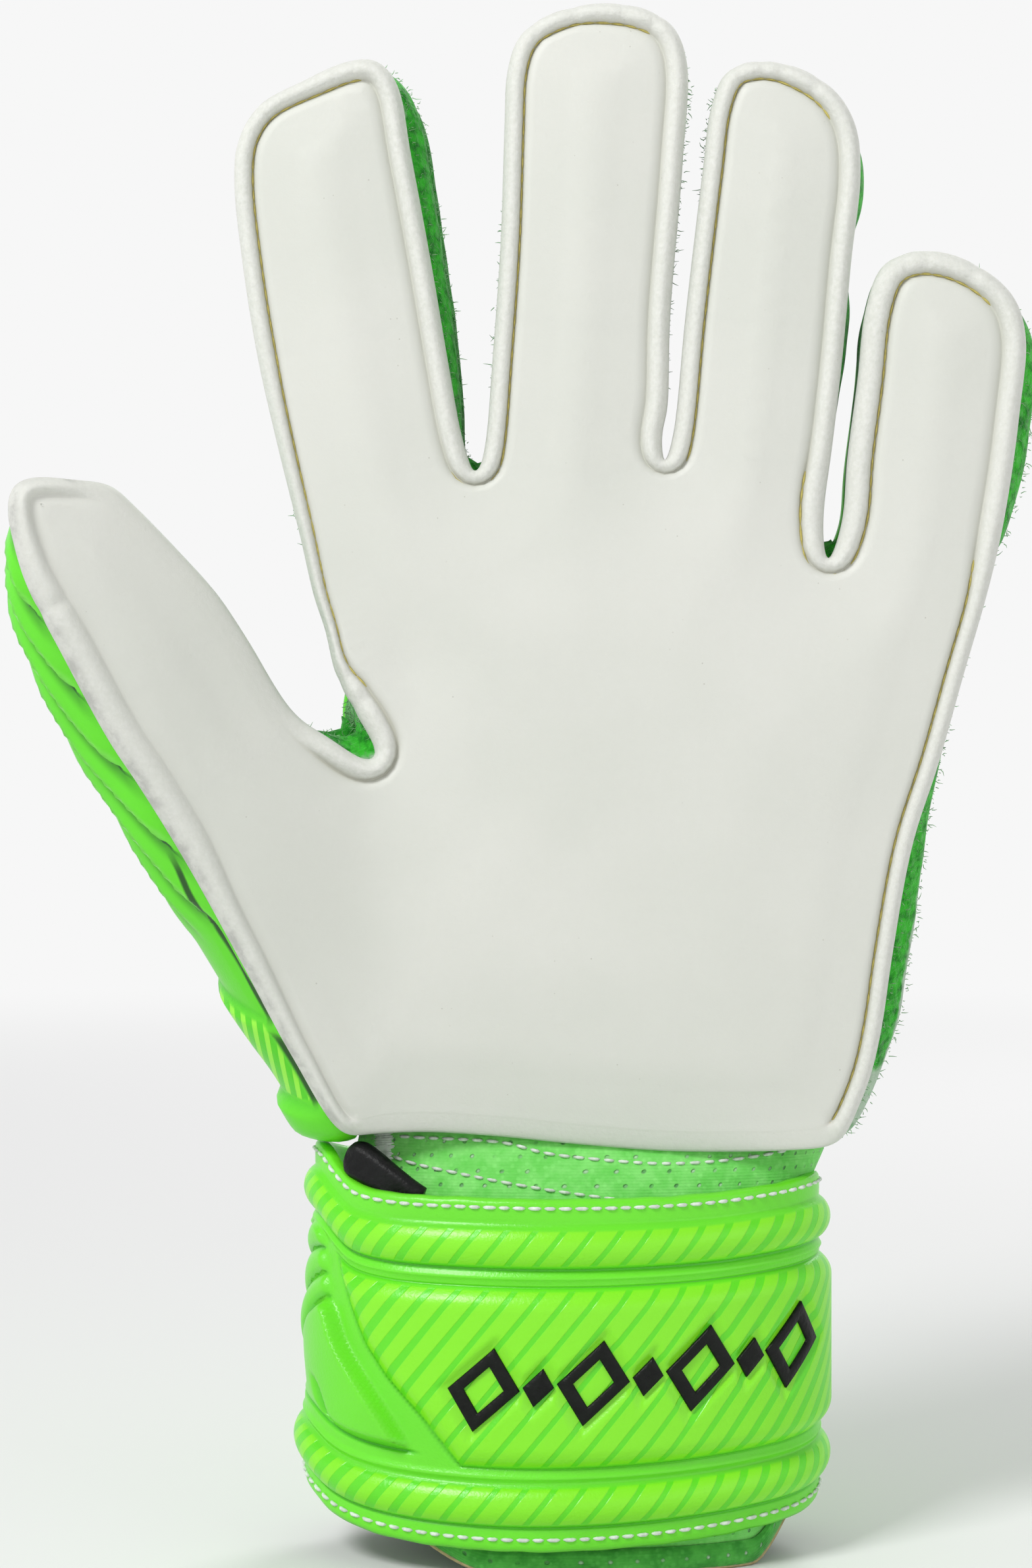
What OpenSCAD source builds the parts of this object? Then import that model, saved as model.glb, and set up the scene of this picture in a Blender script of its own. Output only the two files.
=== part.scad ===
// Goalkeeper glove for the left hand, standing on its cuff with the fingers up.
// +X points to the little-finger side, +Y to the back of the hand, +Z to the fingertips.
// The origin is the centre of the wrist opening, on the plane of the cuff's rim.

/* [Hand] */
// Height from the cuff's rim to the middle fingertip
glove_height = 284; // [256:1:298]
// Depth of the hand and fingers, from palm face to back face
hand_depth = 26; // [24:0.5:30]
// How far the thumb side is turned forward out of the palm's plane
thumb_turn = 25; // [15:1:30]

/* [Layers] */
// Thickness of the palm's latex foam
latex_t = 4; // [3:0.5:4.5]
// Thickness of the embossed back cover
cover_t = 3; // [2:0.5:4]
// Thickness of the foam under the back cover of the hand
padding_t = 3; // [2:0.5:4]
// Thickness of the mesh gussets
gusset_t = 1.6; // [1:0.1:2.5]
// Thickness of the palm's textile lining
lining_t = 0.8; // [0.5:0.1:1.2]

/* [Fingers] */
// Length of the thumb stall above the palm
thumb_len = 58; // [52:1:62]
// Length of the index stall above its web
index_len = 75; // [68:1:78]
// Length of the middle stall above its web
middle_len = 85; // [78:1:88]
// Length of the ring stall above its web
ring_len = 74; // [66:1:78]
// Length of the little stall above its web
little_len = 54; // [48:1:58]
// Forward bend of each finger at its knuckle
knuckle_flex = 60; // [40:5:65]
// Forward bend of each finger at its middle joint
middle_flex = 70; // [40:5:75]

/* [Cuff] */
// Half width of the strap's outer face
strap_a = 48; // [47:0.5:50]
// Half depth of the strap's outer face
strap_b = 28.2; // [28:0.5:31]
// Thickness of the strap
strap_t = 3; // [2.5:0.25:3.5]
// Height of the strap's lower edge
strap_low = 4.5; // [4.5:0.5:8]
// Height of the strap's upper edge
strap_high = 67; // [60:1:68]
// Height of the elastic bandage's upper edge
bandage_high = 69; // [68:0.5:71]
// Height of the hem that binds the bandage's lower edge
hem_h = 4.3; // [3:0.1:4.4]

/* [Hidden] */
k = glove_height / 284;         // every place in the outline scales with the height
gap = 0.1;                      // between layers of one body
slack = 0.2;                    // each side of a flex line
front_y = -14;                  // the palm's face
fold_x = -35 * k;               // the thumb side turns forward along this upright line
hinge_depth = latex_t + 2;      // flex axes run just behind the palm's foam
gusset_low = latex_t + gap;
gusset_high = hand_depth - cover_t - gap;
strap_gap = 0.2;                // between hook, loop and strap
bandage_t = 1.8;
patch_t = 0.9;

THUMB = 0;
INDEX = 1;
MIDDLE = 2;
RING = 3;
LITTLE = 4;
// Centre of each stall's root. The thumb's is in the turned thumb plane, the others' in the palm's.
ROOT = [[-27, 144], [-32.9, 198.2], [1.4, 199], [34.2, 200.6], [64.4, 186]] * k;
TILT = [-33, -10.6, 3.6, 5.9, 7];
LENGTH = [thumb_len, index_len, middle_len, ring_len, little_len];
ROOT_W = [33, 32.5, 31, 28, 28];
TIP_W = [25, 28, 31, 27, 26];
KNUCKLE_AT = [10, 12, 12, 12, 9];
MIDDLE_AT = [33, 39, 42, 39, 29];

// ---- frames ----

module in_palm() translate([0, front_y, 0]) children();

module in_thumb_plane() translate([fold_x, front_y, 0]) rotate([0, 0, thumb_turn]) children();

module in_plane_of(i) {
    if (i == THUMB) in_thumb_plane() children();
    else in_palm() children();
}

module in_finger(i) in_plane_of(i)
    translate([ROOT[i][0], 0, ROOT[i][1]]) rotate([0, TILT[i], 0]) children();

// A point of a finger's own frame, across and along the stall, in the plane that the finger lies in.
function on_finger(i, across, along) = ROOT[i] + [
    across * cos(TILT[i]) + along * sin(TILT[i]),
    -across * sin(TILT[i]) + along * cos(TILT[i])
];
function stub_left(i) = on_finger(i, -ROOT_W[i] / 2, KNUCKLE_AT[i]);
function stub_right(i) = on_finger(i, ROOT_W[i] / 2, KNUCKLE_AT[i]);

// ---- shapes ----

// A flat outline in X and Z, made solid from depth y0 to depth y1.
module panel(y0, y1) translate([0, y1, 0]) rotate([90, 0, 0]) linear_extrude(y1 - y0) children();

// A wall of thickness t along a line of points, with its corners mitred.
function unit(v) = v / norm(v);
function side_step(p, i, t) = let (
    a = unit(p[max(i, 1)] - p[max(i, 1) - 1]),
    b = unit(p[min(i, len(p) - 2) + 1] - p[min(i, len(p) - 2)]),
    n = unit([-a[1] - b[1], a[0] + b[0]])
) n * t / 2 / (n * [-a[1], a[0]]);
function wall(p, t) = concat(
    [for (i = [0:len(p) - 1]) p[i] + side_step(p, i, t)],
    [for (i = [len(p) - 1:-1:0]) p[i] - side_step(p, i, t)]
);

function arc(cx, cz, r, from, to) = [
    for (s = [0:5]) let (a = from + (to - from) * s / 5) [cx + r * cos(a), cz + r * sin(a)]
];

function stall_points(i, inset) = let (
    r = 0.4 * TIP_W[i],
    half = TIP_W[i] / 2,
    top = LENGTH[i]
) concat(
    [[-ROOT_W[i] / 2 + inset, -inset]],
    arc(-half + r, top - r, r - inset, 180, 90),
    arc(half - r, top - r, r - inset, 90, 0),
    [[ROOT_W[i] / 2 - inset, -inset]]
);

// The side of a flex line that lies up the finger. In front of the axis it slopes away, so that the
// foam has room to fold.
module above(at, flex) rotate([90, 0, 90]) translate([0, 0, -30]) linear_extrude(60) polygon([
    [-5, at + slack + (hinge_depth + 5) * tan(flex / 2)], [hinge_depth, at + slack],
    [50, at + slack], [50, 120], [-5, 120]
]);

module below(at, flex) rotate([90, 0, 90]) translate([0, 0, -30]) linear_extrude(60) polygon([
    [-5, at - slack - (hinge_depth + 5) * tan(flex / 2)], [hinge_depth, at - slack],
    [50, at - slack], [50, -40], [-5, -40]
]);

// What is cut from the hand at a knuckle, so that the finger can bend.
module knuckle_relief(i) in_finger(i) difference() {
    translate([-ROOT_W[i] / 2 - 2.5, -5, KNUCKLE_AT[i] - 9]) cube([ROOT_W[i] + 5, 60, 14]);
    below(KNUCKLE_AT[i], knuckle_flex);
}

function ellipse_arc(a, b, from, to, n = 40) = [
    for (s = [0:n]) let (t = from + (to - from) * s / n) [a * cos(t), b * sin(t)]
];
function ellipse(a, b) = ellipse_arc(a, b, 0, 350, 35);

// A band around the wrist, between two angles of an ellipse.
module band(a, b, t, from, to, low, high) translate([0, 0, low]) linear_extrude(high - low)
    polygon(concat(ellipse_arc(a, b, from, to), ellipse_arc(a + t, b + t, to, from)));

// ---- fingers ----

module base_segment(i) in_finger(i) intersection() {
    children();
    above(KNUCKLE_AT[i], knuckle_flex);
    below(MIDDLE_AT[i], middle_flex);
}

module tip_segment(i) in_finger(i) intersection() {
    children();
    above(MIDDLE_AT[i], middle_flex);
}

module latex(i) color("ivory") panel(0, latex_t) polygon(stall_points(i, 0));

module cover(i) color("limegreen") panel(hand_depth - cover_t, hand_depth) polygon(stall_points(i, 0));

// The gusset's wall runs up one side of the stall, round its tip and down the other side.
module gusset(i) color("forestgreen") panel(gusset_low, gusset_high) difference() {
    polygon(stall_points(i, 0));
    polygon(stall_points(i, gusset_t));
}

module base_latex(i) base_segment(i) latex(i);
module base_cover(i) base_segment(i) cover(i);
module base_gusset(i) base_segment(i) gusset(i);
module tip_latex(i) tip_segment(i) latex(i);
module tip_cover(i) tip_segment(i) cover(i);
module tip_gusset(i) tip_segment(i) gusset(i);

// ---- hand ----

// The palm and the back cover turn forward at the fold, on the thumb's side.
function palm_points(left) = concat(
    [[left, 81.5 * k], [left, 147 * k], [-39.5, 161] * k, [-43.5, 177] * k],
    [stub_left(INDEX), stub_right(INDEX), [-15.8, 197] * k],
    [stub_left(MIDDLE), stub_right(MIDDLE), [19.3, 197] * k],
    [stub_left(RING), stub_right(RING), [48.8, 188] * k],
    [stub_left(LITTLE), stub_right(LITTLE)],
    [[77.3, 181], [73, 162], [66, 134.6], [60, 106], [56, 89], [50, 77.5], [19, 77]] * k
);

// The heel of the thumb and the thumb's root, in the turned plane.
function thenar_points(right) = concat(
    [[right, 146.4 * k], [0, 146.6 * k], stub_right(THUMB), stub_left(THUMB)],
    [[-40.5, 132], [-31, 113], [-19, 97], [-6, 82], [right, 81.9]] * k
);

// The flat part ends at x = left, and the turned part runs past the fold by reach.
module hand_sheet(d0, d1, left, reach) difference() {
    union() {
        in_palm() panel(d0, d1) polygon(palm_points(left));
        in_thumb_plane() panel(d0, d1) polygon(thenar_points(reach));
    }
    for (i = [THUMB:LITTLE]) knuckle_relief(i);
}

module palm_latex() color("ivory") hand_sheet(0, latex_t, fold_x, 1.5);

module backhand_cover() color("limegreen") {
    reach = hand_depth * tan(thumb_turn / 2) + 0.3;
    hand_sheet(hand_depth - cover_t, hand_depth, fold_x - reach, reach);
}

// A layer that lies inside the hand, clear of its seams.
module inner_layer(d0, d1, inset) difference() {
    in_palm() panel(d0, d1) offset(delta = -inset) polygon(palm_points(fold_x));
    for (i = [INDEX:LITTLE]) knuckle_relief(i);
}

module palm_lining() color("white") inner_layer(latex_t + gap, latex_t + gap + lining_t, 3.5);

module backhand_padding() color("gainsboro")
    inner_layer(hand_depth - cover_t - gap - padding_t, hand_depth - cover_t - gap, 4);

module gusset_wall(points) color("forestgreen")
    panel(gusset_low, gusset_high) polygon(wall(points, gusset_t));

// Where a gusset wall meets a stall, at the stall's left or right side.
function wall_end(i, side) = on_finger(i, side * (ROOT_W[i] - gusset_t) / 2, KNUCKLE_AT[i] + 1);

// The gusset between two neighbouring fingers runs down into their web and up again.
module web(i, crotch) difference() {
    in_palm() gusset_wall([wall_end(i, 1), crotch, wall_end(i + 1, -1)]);
    knuckle_relief(i);
    knuckle_relief(i + 1);
}

module index_middle_web() web(INDEX, [-15.8, 197.8] * k);
module middle_ring_web() web(MIDDLE, [19.3, 197.8] * k);
module ring_little_web() web(RING, [48.8, 188.8] * k);

module index_side_gusset() difference() {
    in_palm() gusset_wall([[-35.4, 149.5] * k, [-38.7, 161] * k, [-42.7, 177] * k, wall_end(INDEX, -1)]);
    knuckle_relief(INDEX);
}

module thumb_web_gusset() difference() {
    in_thumb_plane() gusset_wall([[-0.2, 145.7] * k, wall_end(THUMB, 1)]);
    knuckle_relief(THUMB);
}

module little_side_gusset() difference() {
    in_palm() gusset_wall(concat(
        [wall_end(LITTLE, 1)],
        [[76.4, 181], [72.1, 162], [65.1, 134.6], [59.1, 106], [55.1, 89], [50.2, 78.6]] * k
    ));
    knuckle_relief(LITTLE);
}

module thumb_side_gusset() difference() {
    in_thumb_plane() gusset_wall(concat(
        [wall_end(THUMB, -1)],
        [[-39.6, 132], [-30.2, 113.5], [-18.3, 97.8], [-6.5, 83.6]] * k
    ));
    knuckle_relief(THUMB);
}

// ---- cuff ----

module cuff_hem() color("limegreen") linear_extrude(hem_h) difference() {
    polygon(ellipse(44.9, 24.9));
    polygon(ellipse(42, 22));
}

module bandage_form(shrink) hull() {
    translate([0, 0, hem_h + gap]) linear_extrude(36) polygon(ellipse(44.5 - shrink, 24.5 - shrink));
    translate([0.5, -1, bandage_high - 1]) linear_extrude(1) polygon(ellipse(43 - shrink, 14 - shrink));
}

module wrist_bandage() color("lightgreen") difference() {
    bandage_form(0);
    bandage_form(bandage_t);
    translate([0, 0, -1]) linear_extrude(30) polygon(ellipse(44.5 - bandage_t, 24.5 - bandage_t));
    translate([0.5, -1, bandage_high - 0.5]) linear_extrude(5)
        polygon(ellipse(43 - bandage_t, 14 - bandage_t));
}

tail_from = 20;   // the strap passes to the back at this angle of the wrist
tail_to = 130;
wrap_from = 152;

module strap_wrap() color("greenyellow")
    band(strap_a - strap_t, strap_b - strap_t, strap_t, wrap_from, 359 + tail_from, strap_low, strap_high);

module strap_tail() color("greenyellow")
    band(strap_a - 1.1, strap_b - 1.1, strap_t, tail_from + 1, tail_to, strap_low + 6, strap_high - 6);

module strap_hook_pad() color("black")
    band(strap_a - 2.2, strap_b - 2.2, patch_t, 55, tail_to - 5, strap_low + 10, strap_high - 10);

module strap_loop_patch() color("seagreen")
    band(44.7, 24.7, patch_t, 40, tail_to + 5, strap_low + 8, 39);

// A short folded tab of webbing in the gap between the strap and the bandage, for pulling the glove on.
module pull_loop() color("black") translate([-25.5, -18.2, 66.8]) rotate([0, 0, -27]) hull() {
    rotate([90, 0, 0]) cylinder(r = 3.2, h = 2.2, center = true, $fn = 32);
    translate([-13.5, 0, 5.3]) rotate([90, 0, 0]) cylinder(r = 4.4, h = 2.2, center = true, $fn = 32);
}

// ---- nodes ----

cuff_hem();
wrist_bandage();
strap_wrap();
strap_tail();
strap_hook_pad();
strap_loop_patch();
pull_loop();
palm_latex();
palm_lining();
backhand_cover();
backhand_padding();
index_middle_web();
middle_ring_web();
ring_little_web();
thumb_web_gusset();
index_side_gusset();
little_side_gusset();
thumb_side_gusset();
base_latex(THUMB);  // thumb_base_latex
base_cover(THUMB);  // thumb_base_cover
base_gusset(THUMB);  // thumb_base_gusset
tip_latex(THUMB);  // thumb_tip_latex
tip_cover(THUMB);  // thumb_tip_cover
tip_gusset(THUMB);  // thumb_tip_gusset
base_latex(INDEX);  // index_base_latex
base_cover(INDEX);  // index_base_cover
base_gusset(INDEX);  // index_base_gusset
tip_latex(INDEX);  // index_tip_latex
tip_cover(INDEX);  // index_tip_cover
tip_gusset(INDEX);  // index_tip_gusset
base_latex(MIDDLE);  // middle_base_latex
base_cover(MIDDLE);  // middle_base_cover
base_gusset(MIDDLE);  // middle_base_gusset
tip_latex(MIDDLE);  // middle_tip_latex
tip_cover(MIDDLE);  // middle_tip_cover
tip_gusset(MIDDLE);  // middle_tip_gusset
base_latex(RING);  // ring_base_latex
base_cover(RING);  // ring_base_cover
base_gusset(RING);  // ring_base_gusset
tip_latex(RING);  // ring_tip_latex
tip_cover(RING);  // ring_tip_cover
tip_gusset(RING);  // ring_tip_gusset
base_latex(LITTLE);  // little_base_latex
base_cover(LITTLE);  // little_base_cover
base_gusset(LITTLE);  // little_base_gusset
tip_latex(LITTLE);  // little_tip_latex
tip_cover(LITTLE);  // little_tip_cover
tip_gusset(LITTLE);  // little_tip_gusset
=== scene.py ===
"""A goalkeeper glove for the left hand, standing on its cuff with the palm towards the camera."""

import math

import bpy
import numpy as np
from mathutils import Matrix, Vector
from mathutils.geometry import delaunay_2d_cdt


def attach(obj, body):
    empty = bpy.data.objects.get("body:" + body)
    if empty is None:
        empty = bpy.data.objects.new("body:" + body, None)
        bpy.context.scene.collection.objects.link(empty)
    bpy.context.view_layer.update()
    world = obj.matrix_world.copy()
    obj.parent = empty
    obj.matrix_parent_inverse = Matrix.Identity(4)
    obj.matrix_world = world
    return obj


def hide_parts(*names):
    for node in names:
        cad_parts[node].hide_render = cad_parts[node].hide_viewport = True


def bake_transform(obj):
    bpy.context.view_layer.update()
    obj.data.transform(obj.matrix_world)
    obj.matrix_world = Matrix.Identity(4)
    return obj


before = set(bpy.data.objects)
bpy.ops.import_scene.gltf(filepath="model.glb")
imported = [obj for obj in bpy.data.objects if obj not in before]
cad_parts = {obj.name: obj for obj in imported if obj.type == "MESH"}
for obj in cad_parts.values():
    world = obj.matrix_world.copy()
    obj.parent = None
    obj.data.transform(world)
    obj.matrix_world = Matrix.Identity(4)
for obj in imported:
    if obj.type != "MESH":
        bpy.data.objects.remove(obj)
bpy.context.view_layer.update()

MM = 0.001


def smooth(a, b, x):
    """0 before a, 1 after b, with a smooth step between them."""
    t = np.clip((np.asarray(x, float) - a) / (b - a), 0, 1)
    return t * t * (3 - 2 * t)


def wobble(points, scale, seed=0.0):
    """A smooth pseudo-random value from about -1 to 1 at each point, from a few crossed waves."""
    p = np.atleast_2d(points) / scale
    total = np.zeros(len(p))
    for k in range(6):
        a = np.sin(np.arange(1, p.shape[1] + 1) * (1.7 + 0.9 * k) + seed + k * k) * (1 + 0.35 * k)
        total += np.sin(p @ a + 2.1 * k + seed) / (1 + 0.3 * k)
    return total / 3.2


# ---------------------------------------------------------------- the hand's flat pattern
# u and z are millimetres in the palm's plane, and d is the depth behind the palm's face. place() gives
# the point in space: the thumb's side turns forward by TURN, softly, along the upright line u = FOLD.
# The thumb's stall parts from the palm at the height PARTED.

FOLD, FRONT, DEPTH, TURN, SOFT, PARTED = -35.0, -14.0, 26.0, math.radians(25), 4.5, 147
THUMB, INDEX, MIDDLE, RING, LITTLE = range(5)
FINGERS = ("thumb", "index", "middle", "ring", "little")
ROOT = np.array([(-62, 144), (-32.9, 198.2), (1.4, 199), (34.2, 200.6), (64.4, 186)])
TILT = np.radians([-33, -10.6, 3.6, 5.9, 7])
LENGTH = np.array([58, 75, 85, 74, 54])
HALF = np.array([16.2, 16.2, 15.5, 14.2, 14.6])
# Along each finger: where the knuckle's fold starts and ends, where its two lengths are parted, and
# where the middle fold starts and ends.
ZONES = ((1, 19, 21.5, 24, 42), (1.5, 22.5, 25.5, 28.5, 49.5), (1.5, 22.5, 26.7, 31, 53),
         (1.5, 22.5, 25.5, 28.5, 49.5), (1, 17, 19, 21, 37))


def on_finger(i, across, along):
    """The pattern's point at a place across and along a finger."""
    s, c = math.sin(TILT[i]), math.cos(TILT[i])
    return np.array([ROOT[i][0] + across * c + along * s, ROOT[i][1] - across * s + along * c])


def in_finger(i, u, z):
    """How far across and along a finger the pattern's points are."""
    s, c = math.sin(TILT[i]), math.cos(TILT[i])
    du, dz = u - ROOT[i][0], z - ROOT[i][1]
    return du * c - dz * s, du * s + dz * c


def on_thumb_side(u, z):
    return u < FOLD - 0.6 * (z - PARTED)


def place(u, z, d):
    u, z, d = (np.asarray(v, float) for v in (u, z, d))
    amount = np.where(on_thumb_side(u, z), 1.0, 1 - smooth(PARTED, 178, z))
    past = SOFT * np.logaddexp(0, (FOLD - u) / SOFT)
    turned = TURN * amount / (1 + np.exp(-np.clip((FOLD - u) / SOFT, -50, 50)))
    x = u + (1 - math.cos(TURN)) * amount * past - d * np.sin(turned)
    y = FRONT - math.sin(TURN) * amount * past + d * np.cos(turned)
    return np.stack([x, y, z + 0 * x], -1)


def finger_of(u, z):
    """The finger each point is on, and its places across and along it; -1 is the hand."""
    best, found = np.full(u.shape, 1.35), np.full(u.shape, -1)
    across, along = np.zeros(u.shape), np.zeros(u.shape)
    thumb = on_thumb_side(u, z)
    for i in range(5):
        a, b = in_finger(i, u, z)
        near = np.abs(a) / HALF[i]
        take = (b > 0) & (near < best) & (thumb == (i == THUMB))
        best, found = np.where(take, near, best), np.where(take, i, found)
        across, along = np.where(take, a, across), np.where(take, b, along)
    return found, across, along


def outline_points():
    """The edge of the palm's foam, clockwise from the wrist's thumb side, and round each finger."""

    def along_finger(i, *places):
        longer = 1.2 if i == INDEX else 0.5
        return [on_finger(i, 1.03 * a, b + longer * float(smooth(0.6, 0.95, b / LENGTH[i]))) for a, b in places]

    heel_and_thumb = [(-39.6, 78.2), (-49.1, 92.2), (-59.6, 110.9), (-70.0, 128.8), (-78.4, 141.8), (-83.5, 149.1),
                      (-91.9, 163.9), (-98.8, 176.9), (-101.0, 184.0), (-102.0, 189.5), (-101.2, 193.4),
                      (-98.2, 195.0), (-90.0, 195.0), (-83.4, 194.4), (-79.4, 191.3), (-71.0, 183.4),
                      (-63.7, 175.9), (-60.0, 170.9), (-56.7, 166.0), (-53.0, 160.0), (-49.8, 155.5),
                      (-47.1, 152.9), (-43.4, 150.6), (-38.6, 147.4), (-35.2, 145.7), (-33.5, 146.3),
                      (-34.4, 149.4), (-36.6, 153.2), (-39.0, 157.2), (-41.3, 161.7), (-42.3, 165.6),
                      (-43.3, 170), (-45.3, 175.8), (-47.9, 187)]
    index = along_finger(INDEX, (-17.3, 9), (-17.9, 26), (-17.4, 44), (-16.2, 57.5), (-14.2, 64.2), (-9.4, 69.4),
                         (-1.0, 72.2), (7.6, 74.3), (12.4, 73.4), (15.0, 69.2), (15.2, 56), (15.2, 37))
    first_web = [(-20.9, 217.5), (-18.9, 206.5), (-17.5, 201.4), (-16.2, 198.0), (-15.1, 199.2), (-14.2, 203.0),
                 (-13.7, 206.5), (-12.9, 217.0)]
    middle = along_finger(MIDDLE, (-14.8, 41), (-15.4, 62), (-15.5, 72), (-13.6, 78.6), (-8.4, 82.6), (-1.0, 84.9),
                          (7.4, 84.7), (13.0, 81.9), (15.9, 75.8), (16.3, 58), (15.8, 29.5), (16.3, 12))
    second_web = [(18.0, 206.2), (18.1, 201.6), (18.5, 199.6), (19.2, 201.2), (20.5, 206.6)]
    ring = along_finger(RING, (-13.9, 25), (-13.5, 52), (-13.1, 64), (-10.9, 70.4), (-4.6, 72.7), (2.6, 71.6),
                        (8.6, 68.2), (12.6, 62.4), (14.2, 54), (14.1, 39), (14.3, 20), (14.1, 4))
    third_web = [(47.6, 192.0), (47.6, 185.6), (48.4, 181.8), (49.7, 184.4), (51.4, 191.0)]
    little = along_finger(LITTLE, (-13.6, 13), (-13.5, 28), (-13.6, 41), (-11.6, 48.9), (-6.6, 52.2), (0.2, 52.4),
                          (7.2, 49.9), (12.3, 45.8), (15.0, 39.4), (15.5, 26), (15.4, 13), (14.8, 2))
    outer_side = [(77.3, 176), (73.2, 161.9), (68.6, 145.6), (63.9, 131), (60.2, 111), (58.2, 97.4), (56.3, 89),
                  (53.8, 82.4), (51.2, 77.3), (48.6, 75.8)]
    wrist = [(42, 75.1), (34, 74.8), (19, 74.9), (2, 76.2), (-12, 77.6), (-25, 78.4), (-35, 78.2)]
    return np.array(heel_and_thumb + index + first_web + middle + second_web + ring + third_web + little
                    + outer_side + wrist, float)


def lengths_of(line):
    """The length of a line up to each of its points."""
    return np.concatenate([[0], np.cumsum(np.linalg.norm(np.diff(line, axis=0), axis=1))])


def at_lengths(s, run, rows):
    """The rows' values at the lengths s, where run holds each row's own length."""
    return np.stack([np.interp(s, run, rows[:, k]) for k in range(rows.shape[1])], -1)


def spline(points, step, closed=True):
    """A smooth curve through the points, resampled every step."""
    p = np.asarray(points, float)
    q = np.vstack([p[-1:], p, p[:2]]) if closed else np.vstack([2 * p[0] - p[1], p, 2 * p[-1] - p[-2]])
    out = []
    for i in range(1, len(q) - 2):
        a, b, c, d = q[i - 1], q[i], q[i + 1], q[i + 2]
        t0, t1, t2 = (max(np.linalg.norm(v), 1e-6) ** 0.5 for v in (b - a, c - b, d - c))
        m1 = (b - a) / t0 - (c - a) / (t0 + t1) + (c - b) / t1
        m2 = (c - b) / t1 - (d - b) / (t1 + t2) + (d - c) / t2
        t = np.linspace(0, 1, 24, endpoint=False)[:, None]
        out.append(b * (2 * t**3 - 3 * t**2 + 1) + m1 * t1 * (t**3 - 2 * t**2 + t)
                   + c * (3 * t**2 - 2 * t**3) + m2 * t1 * (t**3 - t**2))
    curve = np.vstack(out + ([out[0][:1]] if closed else [p[-1:]]))
    run = lengths_of(curve)
    n = int(round(run[-1] / step))
    at = np.linspace(0, run[-1], n, endpoint=False) if closed else np.linspace(0, run[-1], n + 1)
    return at_lengths(at, run, curve)


def loop_normals(p):
    """The inward direction at each point of an outline that runs clockwise."""
    t = np.roll(p, -1, 0) - np.roll(p, 1, 0)
    t /= np.maximum(np.linalg.norm(t, axis=1), 1e-9)[:, None]
    return np.stack([t[:, 1], -t[:, 0]], 1)


def inset_loops(p, insets):
    """The outline moved inwards by each of the insets in turn, a little at a time and smoothed."""
    found, where, loops = p.copy(), np.zeros(len(p)), []
    for goal in insets:
        goal = np.broadcast_to(np.asarray(goal, float), (len(p),))
        steps = max(1, int(math.ceil(np.abs(goal - where).max() / 0.3)))
        for _ in range(steps):
            found = found + loop_normals(found) * ((goal - where) / steps)[:, None]
            before, after = np.roll(found, 1, 0), np.roll(found, -1, 0)
            crowded = 1 - smooth(0.5, 1.2, np.linalg.norm(after - before, axis=1))
            ease = (0.1 + 0.45 * crowded)[:, None]
            found = (1 - ease) * found + ease / 2 * (before + after)
        where = goal
        loops.append(found.copy())
    return loops


OUTLINE = spline(outline_points(), 0.95)
N = len(OUTLINE)
SIDE_FINGER, SIDE_ACROSS, SIDE_ALONG = finger_of(OUTLINE[:, 0], OUTLINE[:, 1])
ARC = lengths_of(OUTLINE)


def blur(values, times):
    """Values round the outline, each blended with its neighbours a number of times."""
    v = np.asarray(values, float)
    for _ in range(times):
        v = 0.5 * v + 0.25 * (np.roll(v, 1) + np.roll(v, -1))
    return v


# ---------------------------------------------------------------- meshes


def vertex_normals(v, faces):
    """A direction at each point, from the faces round it."""
    n = np.zeros_like(v)
    for size in {len(f) for f in faces}:
        f = np.array([g for g in faces if len(g) == size])
        if size > 3:
            c = np.cross(v[f[:, 2]] - v[f[:, 0]], v[f[:, -1]] - v[f[:, 1]])
        else:
            c = np.cross(v[f[:, 1]] - v[f[:, 0]], v[f[:, 2]] - v[f[:, 0]])
        for k in range(size):
            np.add.at(n, f[:, k], c)
    return n / np.maximum(np.linalg.norm(n, axis=1), 1e-12)[:, None]


def make_mesh(name, v, faces, material, normals=None, values=None, uv=None):
    """A mesh object from millimetre points. values holds a number for each point, by name, and uv two."""
    mesh = bpy.data.meshes.new(name)
    mesh.from_pydata((v * MM).tolist(), [], faces)
    for key, value in (values or {}).items():
        mesh.attributes.new(key, "FLOAT", "POINT").data.foreach_set("value", np.asarray(value, np.float32))
    if uv is not None:
        corner = np.zeros(len(mesh.loops), np.int32)
        mesh.loops.foreach_get("vertex_index", corner)
        mesh.uv_layers.new(name="UVMap").data.foreach_set("uv", np.asarray(uv, np.float32)[corner].ravel())
    mesh.shade_smooth()
    if normals is not None:
        mesh.normals_split_custom_set_from_vertices(normals.tolist())
    mesh.materials.append(material)
    obj = bpy.data.objects.new(name, mesh)
    bpy.context.scene.collection.objects.link(obj)
    return obj


def submesh(v, faces, keep, normals, values):
    """The kept faces and their points, with what each point carries."""
    chosen = [f for f, k in zip(faces, keep) if k]
    used = np.unique(np.concatenate([np.array(f) for f in chosen]))
    new = np.full(len(v), -1)
    new[used] = np.arange(len(used))
    return (v[used], [tuple(int(new[k]) for k in f) for f in chosen], normals[used],
            {k: np.asarray(a)[used] for k, a in (values or {}).items()})


def outward(v, faces, k, away):
    """The faces, all turned round if the one numbered k looks against the direction away."""
    f = faces[k]
    look = np.cross(v[f[1]] - v[f[0]], v[f[3]] - v[f[0]])
    return [g[::-1] for g in faces] if look @ away < 0 else faces


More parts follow.
